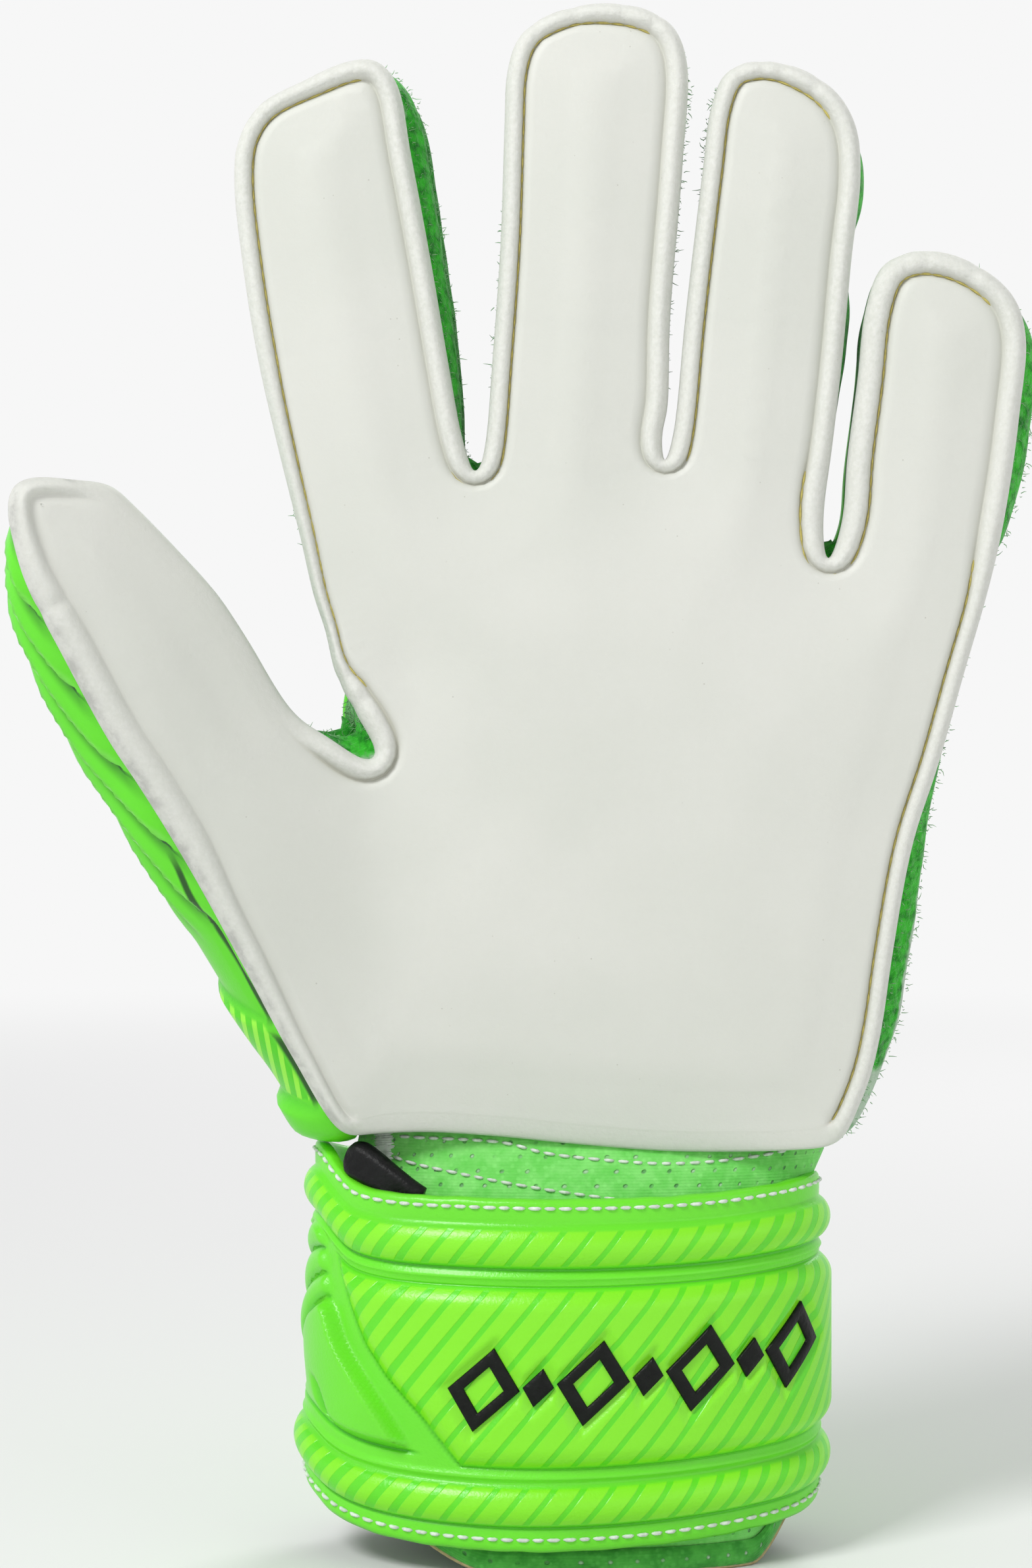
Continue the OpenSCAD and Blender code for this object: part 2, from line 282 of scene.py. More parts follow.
def by_finger(stem, pattern, v, faces, mat, values=None, replaced=None, slot=None, pad=None):
    """Parts a surface at the fingers' folds: a piece for the hand, and one for each of each finger's two lengths.
    pattern holds each point's place in the flat pattern, and replaced the hand's CAD nodes and the last word of the
    fingers' nodes."""
    normals = vertex_normals(v, faces)
    middle = np.array([pattern[list(f)].mean(0) for f in faces])
    which, _, along = finger_of(middle[:, 0], middle[:, 1])
    cut = np.array([z[2] for z in ZONES] + [0])[which]
    part = np.where(which < 0, 0, 1 + 2 * which + (along > cut))
    for p in np.unique(part):
        i, length = (p - 1) // 2, ("base", "tip")[(p - 1) % 2]
        name = "hand" if p == 0 else f"{FINGERS[i]}_{length}"
        piece = submesh(v, faces, part == p, normals, values)
        obj = make_mesh(f"{stem}_{name}", piece[0], piece[1], mat, piece[2], piece[3])
        if p == 0:
            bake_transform(obj)
        elif length == "base":
            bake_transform(obj)
        else:
            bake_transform(obj)
        if replaced and p == 0:
            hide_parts(*replaced[0])
        elif replaced and replaced[1]:
            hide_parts(f"{name}_{replaced[1]}")


def ring_faces(rows, n, closed=True):
    """Quads between neighbouring rows of n points each."""
    faces = []
    for r in range(rows - 1):
        a = r * n
        for k in range(n if closed else n - 1):
            j = (k + 1) % n
            faces.append((a + k, a + j, a + n + j, a + n + k))
    return faces


def slab_faces(rows, n):
    """Faces of a slab: a front of rows by n points, the same again for its back, and the rim between."""
    k, last, end = rows * n, (rows - 1) * n, n - 1
    front = ring_faces(rows, n, closed=False)
    faces = front + [tuple(i + k for i in f[::-1]) for f in front]
    for c in range(end):
        faces.append((c + 1, c, k + c, k + c + 1))
        faces.append((last + c, last + c + 1, k + last + c + 1, k + last + c))
    for r in range(0, last, n):
        faces.append((r, r + n, k + r + n, k + r))
        faces.append((r + n + end, r + end, k + r + end, k + r + n + end))
    return faces


def filled(outline, rim, inner, step, extra):
    """Flat points and faces inside the rim: the extra loops, then a grid that starts at the inset inner.
    The last result is each point's number on the rim or among the other points."""
    low, high = rim.min(0), rim.max(0)
    gx, gz = np.meshgrid(np.arange(low[0], high[0], step), np.arange(low[1], high[1], step * 0.87))
    gx = gx + (np.arange(gx.shape[0]) % 2)[:, None] * step / 2
    grid = np.stack([gx.ravel(), gz.ravel()], 1)
    points = np.vstack([rim, *extra, grid[distance_to(outline, grid) > inner]])
    edges = [(k, (k + 1) % len(rim)) for k in range(len(rim))]
    v, _, faces, origin, _, _ = delaunay_2d_cdt([Vector(p) for p in points], edges, [], 1, 1e-5)
    return np.array([tuple(p) for p in v]), [tuple(f) for f in faces], np.array([o[0] if o else -1 for o in origin])


def distance_to(line, points):
    """Each point's distance to the nearest point of the line."""
    best = np.full(len(points), 1e9)
    for k in range(0, len(line), 64):
        d = np.linalg.norm(points[:, None] - line[None, k:k + 64], axis=2).min(1)
        best = np.minimum(best, d)
    return best


def clockwise(flat, face):
    a, b, c = (flat[face[k]] for k in range(3))
    return (b[0] - a[0]) * (c[1] - a[1]) - (b[1] - a[1]) * (c[0] - a[0]) < 0


def panel_surface(outline, profile, depth_of, grid_step, more, flip=False):
    """A rolled rim that follows the outline, and a filled face inside it. profile holds (inset, depth)
    rows, with a number or a value for each point of the outline. Gives each point's place in the
    pattern, its depth, the faces, and each point's inset."""
    insets = [row[0] for row in profile]
    loops = inset_loops(outline, insets)
    rim, last = loops[-1], float(np.max(insets[-1]))
    kept = []
    for m, loop in zip(more, inset_loops(outline, [last + m for m in more])):
        clear = (distance_to(outline, loop) > last + m - 0.25) & (distance_to(rim, loop) > 0.7)
        kept.append(loop[clear][::2])
    points, faces, origin = filled(outline, rim, last + more[-1] + 0.8, grid_step, kept)
    index = np.where((origin >= 0) & (origin < N), (len(loops) - 1) * N + origin, -1)
    new = np.flatnonzero(index < 0)
    index[new] = len(loops) * N + np.arange(len(new))
    flat = np.vstack([*loops, points[new]])
    near = distance_to(outline, points[new])
    rim_depth, rim_inset = (np.concatenate([np.broadcast_to(np.asarray(row[k], float), (N,)) for row in profile])
                            for k in (1, 0))
    tris = [tuple(int(index[k]) for k in f) for f in faces]
    quads = ring_faces(len(loops), N)
    if clockwise(flat, tris[0]):
        tris = [t[::-1] for t in tris]
    if clockwise(flat, quads[len(quads) // 2]):
        quads = [q[::-1] for q in quads]
    faces = [f[::-1] for f in quads + tris] if flip else quads + tris
    return flat, np.concatenate([rim_depth, depth_of(points[new], near)]), faces, np.concatenate([rim_inset, near])


# ---------------------------------------------------------------- materials


def material(name):
    m = bpy.data.materials.new(name)
    m.use_nodes = True
    m.node_tree.nodes.clear()
    return m


class Nodes:
    """Short calls that add nodes to a material and link them."""

    def __init__(self, mat):
        self.t = mat.node_tree
        self.out = self.t.nodes.new("ShaderNodeOutputMaterial")
        self.bsdf = self.t.nodes.new("ShaderNodeBsdfPrincipled")
        self.t.links.new(self.bsdf.outputs[0], self.out.inputs[0])
        self.where = self.t.nodes.new("ShaderNodeTexCoord").outputs["Object"]

    def put(self, socket, value):
        if hasattr(value, "is_output"):
            self.t.links.new(value, socket)
        elif value is not None:
            socket.default_value = value

    def set(self, **values):
        for key, value in values.items():
            self.put(self.bsdf.inputs[key.replace("_", " ")], value)

    def math(self, op, *values):
        n = self.t.nodes.new("ShaderNodeMath")
        n.operation = op
        for k, v in enumerate(values):
            self.put(n.inputs[k], v)
        return n.outputs[0]

    def times(self, a, b):
        return self.math("MULTIPLY", a, b)

    def plus(self, a, b):
        return self.math("ADD", a, b)

    def minus(self, a, b):
        return self.math("SUBTRACT", a, b)

    def noise(self, scale, detail=2.0, rough=0.5):
        n = self.t.nodes.new("ShaderNodeTexNoise")
        self.put(n.inputs["Vector"], self.where)
        self.put(n.inputs["Scale"], float(scale))
        self.put(n.inputs["Detail"], float(detail))
        self.put(n.inputs["Roughness"], float(rough))
        return n.outputs["Fac"]

    def cells(self, scale):
        n = self.t.nodes.new("ShaderNodeTexVoronoi")
        self.put(n.inputs["Vector"], self.where)
        self.put(n.inputs["Scale"], float(scale))
        return n.outputs["Distance"]

    def value(self, name):
        """A value that the mesh holds for each point."""
        n = self.t.nodes.new("ShaderNodeAttribute")
        n.attribute_name = name
        return n.outputs["Fac"]

    def uv(self):
        n = self.t.nodes.new("ShaderNodeSeparateXYZ")
        self.put(n.inputs[0], self.t.nodes.new("ShaderNodeTexCoord").outputs["UV"])
        return n.outputs

    def mix(self, fac, a, b):
        n = self.t.nodes.new("ShaderNodeMix")
        n.data_type = "RGBA"
        self.put(n.inputs[0], fac)
        self.put(n.inputs[6], a)
        self.put(n.inputs[7], b)
        return n.outputs[2]

    def step(self, value, a, b):
        """0 before a, 1 after b, with a smooth step between them."""
        n = self.t.nodes.new("ShaderNodeMapRange")
        n.interpolation_type = "SMOOTHSTEP"
        self.put(n.inputs[0], value)
        n.inputs[1].default_value, n.inputs[2].default_value = a, b
        return n.outputs[0]

    def bump(self, height, distance, strength=1.0, normal=None):
        n = self.t.nodes.new("ShaderNodeBump")
        self.put(n.inputs["Strength"], float(strength))
        self.put(n.inputs["Distance"], float(distance))
        self.put(n.inputs["Height"], height)
        if normal is not None:
            self.put(n.inputs["Normal"], normal)
        return n.outputs[0]


def rgb(r, g, b):
    """A colour given as 0 to 255, made linear."""
    return tuple((c / 255 / 12.92 if c <= 10 else ((c / 255 + 0.055) / 1.055) ** 2.4) for c in (r, g, b)) + (1.0,)


def shade(colour, by):
    return tuple(by * c for c in colour[:3]) + (1.0,)


def latex_material():
    """Smooth pale foam with a fluffy roll, olive stitching in its groove, specks and a soiled thumb edge."""
    m = material("latex_foam")
    n = Nodes(m)
    roll, groove, soil = n.value("roll"), n.value("groove"), n.value("soil")
    base = n.mix(n.step(n.noise(24, 3), 0.3, 0.7), rgb(211, 212, 205), rgb(206, 208, 200))
    specks = n.minus(1.0, n.step(n.cells(330), 0.03, 0.06))
    specks = n.times(specks, n.step(n.noise(60, 1), 0.5, 0.62))
    base = n.mix(n.times(specks, 0.45), base, rgb(150, 148, 136))
    base = n.mix(n.times(roll, n.step(n.noise(1100, 3, 0.6), 0.25, 0.75)), base, rgb(217, 218, 212))
    base = n.mix(n.times(groove, 0.6), base, rgb(160, 157, 132))
    patchy = n.step(n.noise(240, 4, 0.65), 0.4, 0.66)
    base = n.mix(n.times(soil, n.math("MULTIPLY_ADD", patchy, 0.55, 0.15)), base, rgb(158, 158, 154))
    n.set(Base_Color=base, Roughness=n.math("MULTIPLY_ADD", roll, 0.36, 0.5), Specular_IOR_Level=0.4,
          Sheen_Weight=0.06, Sheen_Roughness=0.6, Subsurface_Weight=0.05, Subsurface_Scale=0.003)
    n.bsdf.inputs["Subsurface Radius"].default_value = (1.0, 0.9, 0.75)
    grain = n.times(n.noise(1500, 3, 0.6), n.math("MULTIPLY_ADD", roll, 0.6, 0.4))
    fuzz = n.times(n.noise(800, 3, 0.6), n.times(roll, 1.3))
    creases = n.times(n.noise(90, 3), 0.6)
    n.set(Normal=n.bump(n.plus(n.plus(grain, fuzz), creases), 0.00022, 0.5))
    return m


def felt_material(name, dark, light, fuzz_colour):
    """Fuzzy felt, with painted shade along its fold and over the layer past the fold, and pale at its cut edges. The
    mesh carries the place across the gusset and how pale the edge is."""
    m = material(name)
    n = Nodes(m)
    edge = n.value("edge")
    fibre = n.noise(420, 4, 0.65)
    tufts = n.cells(520)
    base = n.mix(n.step(fibre, 0.32, 0.66), dark, light)
    base = n.mix(n.step(tufts, 0.28, 0.62), n.mix(0.5, base, light), base)
    # painted shade: near-black in the crease of the fold
    pleat = n.math("ABSOLUTE", n.minus(n.value("across"), 0.46))
    base = n.mix(n.times(n.minus(1.0, n.step(pleat, 0.012, 0.05)), 0.8), base, shade(dark, 0.35))
    # painted shade: the layer past the fold is darker
    base = n.mix(n.times(n.step(n.value("across"), 0.44, 0.5), 0.35), base, dark)
    ragged = n.plus(edge, n.times(n.minus(n.noise(300, 3), 0.5), 1.1))
    pale = n.times(n.step(ragged, 0.45, 0.85), 0.8)
    base = n.mix(pale, base, fuzz_colour)
    n.set(Base_Color=base, Roughness=0.95, Specular_IOR_Level=0.15, Sheen_Weight=0.45, Sheen_Roughness=0.5)
    n.bsdf.inputs["Sheen Tint"].default_value = (0.75, 1.0, 0.75, 1.0)
    n.set(Normal=n.bump(n.plus(n.noise(700, 4, 0.7), n.times(tufts, 0.7)), 0.0008, 0.9))
    return m


def cover_material(name, green, dark, deep, lime, rough):
    """Moulded soft cover: stripes of lime in green, with painted shade of deep green in the grooves. The mesh carries
    the stripes' phase, their width, the depth inside the lime field in millimetres and the groove's painted shade. The
    thumb's outer cover also carries its folds, how strongly their painted crease shade and ridge highlight show, and a
    fine cut line whose dark is painted shade."""
    m = material(name)
    n = Nodes(m)
    phase, duty, field, groove = (n.value(k) for k in ("phase", "duty", "field", "groove"))
    saw = n.math("ABSOLUTE", n.minus(n.math("FRACT", phase), 0.5))  # 0.5 at a stripe's middle
    line = n.step(n.minus(n.plus(saw, n.times(duty, 0.5)), 0.5), -0.025, 0.025)
    inside = n.step(field, -0.15, 0.35)
    tone = n.mix(n.step(n.noise(30, 2), 0.35, 0.65), green, shade(green, 0.93))
    base = n.mix(inside, tone, n.mix(line, lime, dark))
    # painted shade: the grooves are darkened towards deep green
    base = n.mix(groove, base, deep)
    # painted shade in each fold's crease: a dark core with a softer shade on one side
    along = n.minus(n.math("FRACT", n.value("folds")), 0.5)
    slope = n.times(n.step(along, -0.42, -0.06), n.minus(1.0, n.step(along, 0.02, 0.12)))
    core = n.minus(1.0, n.step(n.math("ABSOLUTE", along), 0.035, 0.12))
    folded = n.math("MAXIMUM", n.times(slope, 0.55), core)
    base = n.mix(n.times(folded, n.value("fold_shading")), base, rgb(4, 92, 4))
    # painted highlight along each fold's ridge
    ridge = n.times(n.step(along, 0.10, 0.2), n.minus(1.0, n.step(along, 0.24, 0.36)))
    base = n.mix(n.times(n.times(ridge, n.value("fold_shading")), 0.35), base, rgb(150, 240, 110))
    # painted shade: the fine cut line is near-black as the shadow in its groove
    cut = n.minus(1.0, n.step(n.math("ABSOLUTE", n.value("cut")), 0.22, 0.6))
    cut = n.times(cut, n.value("cut_shown"))
    base = n.mix(n.times(cut, 0.93), base, rgb(6, 52, 8))
    n.set(Base_Color=base, Roughness=rough, Specular_IOR_Level=0.5)
    relief = n.times(n.times(line, inside), -0.8)
    n.set(Normal=n.bump(relief, 0.00014, 0.6, n.bump(n.noise(1700, 3, 0.6), 0.00012, 0.5)))
    return m


def mesh_material(name, light, dark, hole):
    """Elastic mesh: rows of small holes over a fine rib, the holes painted dark for the shade in them and the layer
    behind. Its UV is in millimetres.
    """
    m = material(name)
    n = Nodes(m)
    uv = n.uv()
    apart, tall = 3.9, 2.5
    row = n.math("FLOOR", n.math("DIVIDE", uv[1], tall))
    x = n.math("FRACT", n.plus(n.math("DIVIDE", uv[0], apart), n.times(row, 0.5)))
    y = n.math("FRACT", n.math("DIVIDE", uv[1], tall))
    dx = n.times(n.minus(x, 0.5), apart)
    dy = n.times(n.minus(y, 0.5), tall)
    r = n.math("SQRT", n.plus(n.times(dx, dx), n.times(dy, dy)))
    keep = n.step(n.noise(190, 2), 0.30, 0.52)
    hole_at = n.times(n.minus(1.0, n.step(r, 0.16, 0.42)), keep)
    rib = n.math("SINE", n.times(uv[1], 12.0))
    base = n.mix(n.step(n.noise(260, 3, 0.6), 0.3, 0.7), dark, light)
    # painted shade: the holes are only coloured darker, not cut through
    through = n.mix(n.step(n.noise(110, 1), 0.45, 0.55), hole, (0.42, 0.6, 0.42, 1.0))
    base = n.mix(n.times(hole_at, 0.75), base, through)
    knit = n.minus(1.0, n.step(n.cells(760), 0.18, 0.42))
    base = n.mix(n.times(knit, 0.16), base, tuple(min(1.0, 1.5 * c + 0.06) for c in light[:3]) + (1,))
    n.set(Base_Color=base, Roughness=0.85, Specular_IOR_Level=0.2, Sheen_Weight=0.3, Sheen_Roughness=0.5)
    knobbly = n.plus(n.times(rib, 0.04), n.times(n.noise(700, 3), 0.5))
    n.set(Normal=n.bump(n.plus(n.times(hole_at, -1.0), knobbly), 0.0005, 0.8))
    return m


def thread_material(name, colour, rough=0.6):
    m = material(name)
    n = Nodes(m)
    base = n.mix(n.step(n.noise(900, 2), 0.35, 0.65), colour, shade(colour, 0.8))
    n.set(Base_Color=base, Roughness=rough, Specular_IOR_Level=0.3)
    n.set(Normal=n.bump(n.noise(2500, 2), 0.0001, 0.6))
    return m


def black_material(name, rough, scale, colour=rgb(16, 18, 17)):
    m = material(name)
    n = Nodes(m)
    base = n.mix(n.step(n.noise(scale, 3), 0.3, 0.7), colour, shade(colour, 2.2))
    n.set(Base_Color=base, Roughness=rough, Specular_IOR_Level=0.22)
    n.set(Normal=n.bump(n.noise(scale * 2.2, 3), 0.0003, 0.6))
    return m


# deep green painted into the moulding's grooves as their shade
GROOVE_SHADE = rgb(40, 166, 14)
latex = latex_material()
fibres = thread_material("loose_fibres", rgb(150, 200, 146), 0.9)
felt = felt_material("gusset_felt", rgb(10, 112, 22), rgb(58, 190, 46), rgb(196, 205, 196))
cover = cover_material("moulded_cover", rgb(98, 220, 32), rgb(82, 206, 22), GROOVE_SHADE, rgb(148, 236, 62), 0.33)
strap_cover = cover_material("moulded_strap", rgb(108, 224, 40), rgb(94, 217, 26), GROOVE_SHADE, rgb(132, 230, 32), 0.3)
bandage_mesh = mesh_material("elastic_mesh", rgb(130, 219, 112), rgb(104, 204, 86), rgb(74, 130, 84))
lining_mesh = mesh_material("cuff_lining", rgb(78, 172, 66), rgb(48, 138, 44), rgb(34, 96, 44))
thread_olive = thread_material("olive_thread", rgb(196, 184, 104))
thread_tan = thread_material("tan_edge", rgb(176, 160, 118), 0.8)
thread_white = thread_material("white_thread", rgb(222, 232, 220))
black_web = black_material("black_webbing", 0.45, 600, rgb(9, 10, 10))
black_print = black_material("black_rubber", 0.42, 500, rgb(7, 10, 7))
hook_tape = black_material("hook_tape", 0.9, 1200)

# ---------------------------------------------------------------- palm foam

# Stretches of the outline, each a mask over its points.
edge_u, edge_z = OUTLINE[:, 0], OUTLINE[:, 1]
on_thumb = on_thumb_side(edge_u, edge_z)
left_side = (SIDE_FINGER > 0) & (SIDE_ACROSS < 0)
hand_edge = SIDE_FINGER < 0
crotch = (edge_z > 144) & (edge_z < 160) & (edge_u > -47) & (edge_u < -30)
bottom = hand_edge & (edge_z < 80) & (edge_u > -39.4) & (edge_u < 50.8)
thumb_right = (edge_z > 151.5) & (on_thumb & (edge_u > -79) | (SIDE_FINGER == THUMB) & (SIDE_ACROSS > 6))
thumb_left = (edge_u < -36.5) & (edge_z < 197) & ~thumb_right & ~crotch & on_thumb
right_palm = hand_edge & (edge_u > 50.8) & (edge_z < 178)
index_left = (edge_u < -39) & ~on_thumb & (edge_z > 157)
inner_face = (SIDE_FINGER > 0) & (np.abs(SIDE_ACROSS) < 9)


def by_height(*rows):
    """A value for each point of the outline, from rows of a height and a value."""
    return np.interp(edge_z, *zip(*rows))


def along_edge(base, *rules, times=24):
    """A value all round the outline: base, then each rule's value where its mask holds, blurred together."""
    out = np.full(N, float(base))
    for mask, value in rules:
        out[mask] = (np.broadcast_to(value, (N,)))[mask]
    return blur(out, times)


# The roll of foam round the palm: how wide it is, how high, how deep the stitched groove beside it is and
# how crisp, and where the edge is only rounded (rounded) or thin and flat (thin).
wide = along_edge(1.0, (left_side, 0.86),
                  (thumb_left & (edge_z > 120), by_height((120, 1.12), (130, 1.5), (168, 1.5), (184, 1.0), (192, 0.8))),
                  (thumb_left & (edge_z <= 120), by_height((78, 0.62), (92, 0.78), (108, 1.02), (120, 1.12))),
                  (right_palm, 0.84), (index_left & (edge_z < 215), by_height((158, 0.42), (176, 0.6), (215, 0.8))),
                  (crotch, 1.1), (SIDE_FINGER == LITTLE, 1.12))
bead = along_edge(1.0, (left_side, 0.75), (thumb_left, 0.8), (right_palm, 0.7), (bottom, 0.0), (thumb_right, 0.0),
                  (index_left & (edge_z < 200), 0.55)) * (1 + 0.10 * wobble(OUTLINE, 9.0))
dip = along_edge(1.0, (left_side, 1.0), (thumb_left, 0.62), (thumb_left & (edge_z > 150), 0.8),
                 (thumb_left & (edge_z > 188), 0.35), (bottom, 0.0), (thumb_right, 0.0), times=20)
crisp = along_edge(0.55, (left_side, 1.0), (right_palm, 1.0), (thumb_left, 0.1), (crotch, 0.7), (inner_face, 0.85),
                   ((SIDE_FINGER > 0) & (SIDE_ACROSS > 9), 0.35), times=20)
rounded = along_edge(0.0, (thumb_right, 1.0), times=30)
thin = along_edge(0.0, (bottom, 1.0), times=6)


def pinches():
    """Small pinches across the roll where the foam turns round each fingertip and web."""
    found = np.zeros(N)
    tips = ((INDEX, -13.6, 65), (INDEX, -11.0, 68), (INDEX, 5.5, 74), (INDEX, 8.5, 74.5), (MIDDLE, -12.6, 81),
            (MIDDLE, -5.0, 84.4), (MIDDLE, 4.6, 85), (MIDDLE, 10.8, 83.6), (RING, -10.2, 71.4), (RING, -5.4, 72.8),
            (RING, -1.5, 72.7), (RING, 5.5, 70.3), (LITTLE, -4.8, 52.5), (LITTLE, -9.0, 51.2), (LITTLE, 5.0, 51.0),
            (THUMB, -14.0, 42))
    webs = ((-16.2, 198.0), (18.5, 199.6), (48.4, 181.8), (-40.4, 160.5), (-38.2, 156.0))
    for spots, deep, long in (([on_finger(*t) for t in tips], 1.0, 1.0), (webs, 1.1, 1.3)):
        for spot in spots:
            found = np.maximum(found, deep * np.exp(-(np.linalg.norm(OUTLINE - spot, axis=1) / long) ** 2))
    return found


pinch = pinches()
# The foam's section, from behind its edge, over the roll and down into the groove: the inset, the depth, the
# roll's share, the sharp and the soft groove's shares, and the depths of the rounded and of the thin edge.
SECTION = ((1.9, 4.6, 0, 0, 0, 6.4, 2.6), (0.8, 4.3, 0, 0, 0, 6.0, 2.4), (0.1, 3.4, 0, 0, 0, 4.8, 2.0),
           (-0.15, 2.3, 0, 0, 0, 3.6, 1.5), (0.0, 1.25, 0, 0, 0, 2.75, 0.85), (0.35, 0.5, 0.05, 0, 0, 2.05, 0.6),
           (0.9, 0.0, 0.36, 0, 0, 1.45, 0.42), (1.5, -0.15, 0.66, 0, 0, 1.05, 0.28),
           (2.1, -0.15, 0.78, 0, 0.06, 0.75, 0.17), (2.7, -0.1, 0.66, 0, 0.25, 0.5, 0.06),
           (3.15, 0.0, 0.36, 0.1, 0.5, 0.35, 0.0), (3.5, 0.0, 0.12, 0.5, 0.75, 0.22, -0.07),
           (3.7, 0.0, 0.0, 0.95, 0.88, 0.15, -0.14), (3.88, 0.0, 0.0, 1.25, 0.92, 0.1, -0.15),
           (4.08, 0.0, 0.0, 1.05, 0.86, 0.05, -0.17), (4.35, 0.0, 0.0, 0.55, 0.7, 0.0, -0.2),
           (4.8, -0.05, 0.0, 0.12, 0.45, -0.08, -0.22), (5.4, -0.22, 0.0, 0.0, 0.2, -0.2, -0.28),
           (6.2, -0.36, 0.0, 0.0, 0.02, -0.34, -0.36))
GROOVE_AT = 3.88


def front_profile():
    """The section's insets and depths, with a value for each point of the outline."""
    rows = []
    for t, side, roll, sharp, soft, round_at, thin_at in SECTION:
        inset = t * np.where(t > 0.8, wide, 1.0) + 0.35 * np.exp(-((t - 0.3) / 1.4) ** 2) * pinch
        d = side - bead * (1 - 0.55 * pinch) * roll + dip * (crisp * sharp + (1 - crisp) * soft)
        d = d + 0.3 * pinch * np.exp(-((t - 2.0) / 1.2) ** 2)
        d = d * (1 - rounded) + rounded * round_at
        rows.append((inset, d * (1 - thin) + thin * thin_at))
    return rows


def front_depth(p, near):
    """The pillowed face of the foam, hollowed beside the thumb, with slow waves."""
    pillow = -0.36 - 1.25 * smooth(6, 17, near) - 0.9 * smooth(14, 34, near)
    hollow = 1.5 * np.exp(-((np.linalg.norm(p - (-31, 163), axis=1) / 10) ** 2))
    hollow = hollow + 0.7 * np.exp(-((np.linalg.norm(p - (-64, 150), axis=1) / 14) ** 2))
    waves = 0.22 * wobble(p, 24, 2.0) * smooth(7, 15, near) + 0.04 * wobble(p, 6, 5.0) * smooth(7, 10, near)
    return pillow + hollow * smooth(6, 12, near) - waves


flat, depth, faces, inset = panel_surface(OUTLINE, front_profile(), front_depth, 2.7, [1.2, 2.8])


def over_rim(values, inside=0.0):
    """Values round the outline, repeated over the rim's rows, and one number for the points inside it."""
    rows = len(SECTION)
    return np.concatenate([np.tile(values, rows), np.full(len(flat) - rows * N, inside)])


t_here = inset / np.where(inset > 0.8, over_rim(wide, 1.0), 1)
soil_here = over_rim(along_edge(0.0, (thumb_left, 1.0)))
rolled = (1 - smooth(3.2, 3.75, t_here)) * (1 - 0.75 * over_rim(np.maximum(rounded, thin))) * (1 - 0.35 * soil_here)
grooved = np.exp(-((t_here - GROOVE_AT) / 0.34) ** 2) * over_rim(dip * crisp)
soil = np.exp(-((t_here - 0.15) / 0.6) ** 2) * soil_here
by_finger("palm_foam", flat, place(flat[:, 0], flat[:, 1], depth), faces, latex,
          {"roll": rolled, "groove": grooved, "soil": soil},
          replaced=(["palm_latex", "palm_lining"], "latex"), slot="latex_foam", pad=0.7)

# ---------------------------------------------------------------- side gussets


# How far the gusset bulges past the foam's edge, along the left (-1) and right (1) side of each finger: rows of
# a place along the finger and a bulge.
BULGES = (
    (THUMB, -1, ((0, 2.4), (40, 1.6), (52, 0.2), (60, -0.4))),
    (THUMB, 1, ((0, 0.4), (12, 0.3), (40, -0.2), (52, -0.4))),
    (INDEX, -1, ((0, -0.5), (60, 0.1), (72, 0.2))),
    (INDEX, 1, ((0, 0.4), (10, 2.1), (24, 3.3), (60, 4.3), (66, 3.9), (72, 1.6), (75, 0.2))),
    (MIDDLE, -1, ((0, 0.2), (20, 0.4), (80, 0.3))),
    (MIDDLE, 1, ((0, 0.0), (12, 0.3), (60, 0.9), (76, 1.2), (84, 0.3))),
    (RING, -1, ((0, -0.3), (44, -0.2), (54, 0.9), (66, 1.2), (72, 0.3))),
    (RING, 1, ((0, 0.6), (6, 1.0), (22, 2.2), (30, 2.4), (36, 1.2), (42, 0.4), (47, 2.2), (57, 2.5), (60, 1.2),
               (70, 0.3))),
    (LITTLE, -1, ((0, 0.2), (12, 0.5), (28, 0.8), (42, 1.0), (48, 0.8), (52, 0.4))),
    (LITTLE, 1, ((-6, 0.9), (0, 2.2), (16, 4.2), (34, 4.4), (42, 3.0), (48, 0.8), (53, 0.2))))


def gusset_bulge():
    out = np.full(N, 1.0)
    for i, side, rows in BULGES:
        here = (SIDE_FINGER == i) & (SIDE_ACROSS * side > 0)
        out[here] = np.interp(SIDE_ALONG, *zip(*rows))[here]
    heel = by_height((76, 2.6), (80, 2.8), (90, 3.4), (98, 5.0), (118, 5.2), (130, 4.4), (142, 2.4), (158, 0.7), (176, 0.9))
    thenar = by_height((78, 3.6), (84, 3.4), (100, 2.6), (120, 2.4), (145, 2.6))
    out = np.where(right_palm, heel, out)
    out = np.where(thumb_left & hand_edge, thenar, out)
    out[hand_edge & (edge_z > 176) & (edge_u > -30)] = 0.1
    out[bottom] = -1.0
    out[index_left & (edge_z < 186)] = -0.5
    return blur(out, 12)


bulge = gusset_bulge()
# the back is a little narrower than the palm's foam at the thumb's tip and the heel of the hand
lean = along_edge(0.0, (thumb_left, by_height((78, 4.6), (86, 4.6), (95, 3.4), (105, 1.6), (118, 0.2), (160, 0.0),
                                              (172, 1.6), (180, 3.4), (187, 5.0), (196, 5.0))),
                  (thumb_right & (edge_z > 186), 5.0), ((SIDE_FINGER == RING) & (SIDE_ACROSS < 0), 2.3),
                  ((SIDE_FINGER == LITTLE) & (SIDE_ACROSS < 0), 1.6),
                  (index_left & (edge_z < 180), by_height((152, 5.2), (160, 4.6), (168, 2.8), (178, 0.2))), times=26)
INWARD = loop_normals(OUTLINE)
corner = np.exp(-((np.linalg.norm(OUTLINE - (-39.6, 78.2), axis=1) / 5.0) ** 2))
tip = np.exp(-((np.linalg.norm(OUTLINE - (-99, 193), axis=1) / 12.0) ** 2))
LEAN = INWARD * lean[:, None] + corner[:, None] * (0.6, -2.6) + tip[:, None] * (8.0, -2.0)
BACK = OUTLINE + LEAN
push = -INWARD * bulge[:, None]
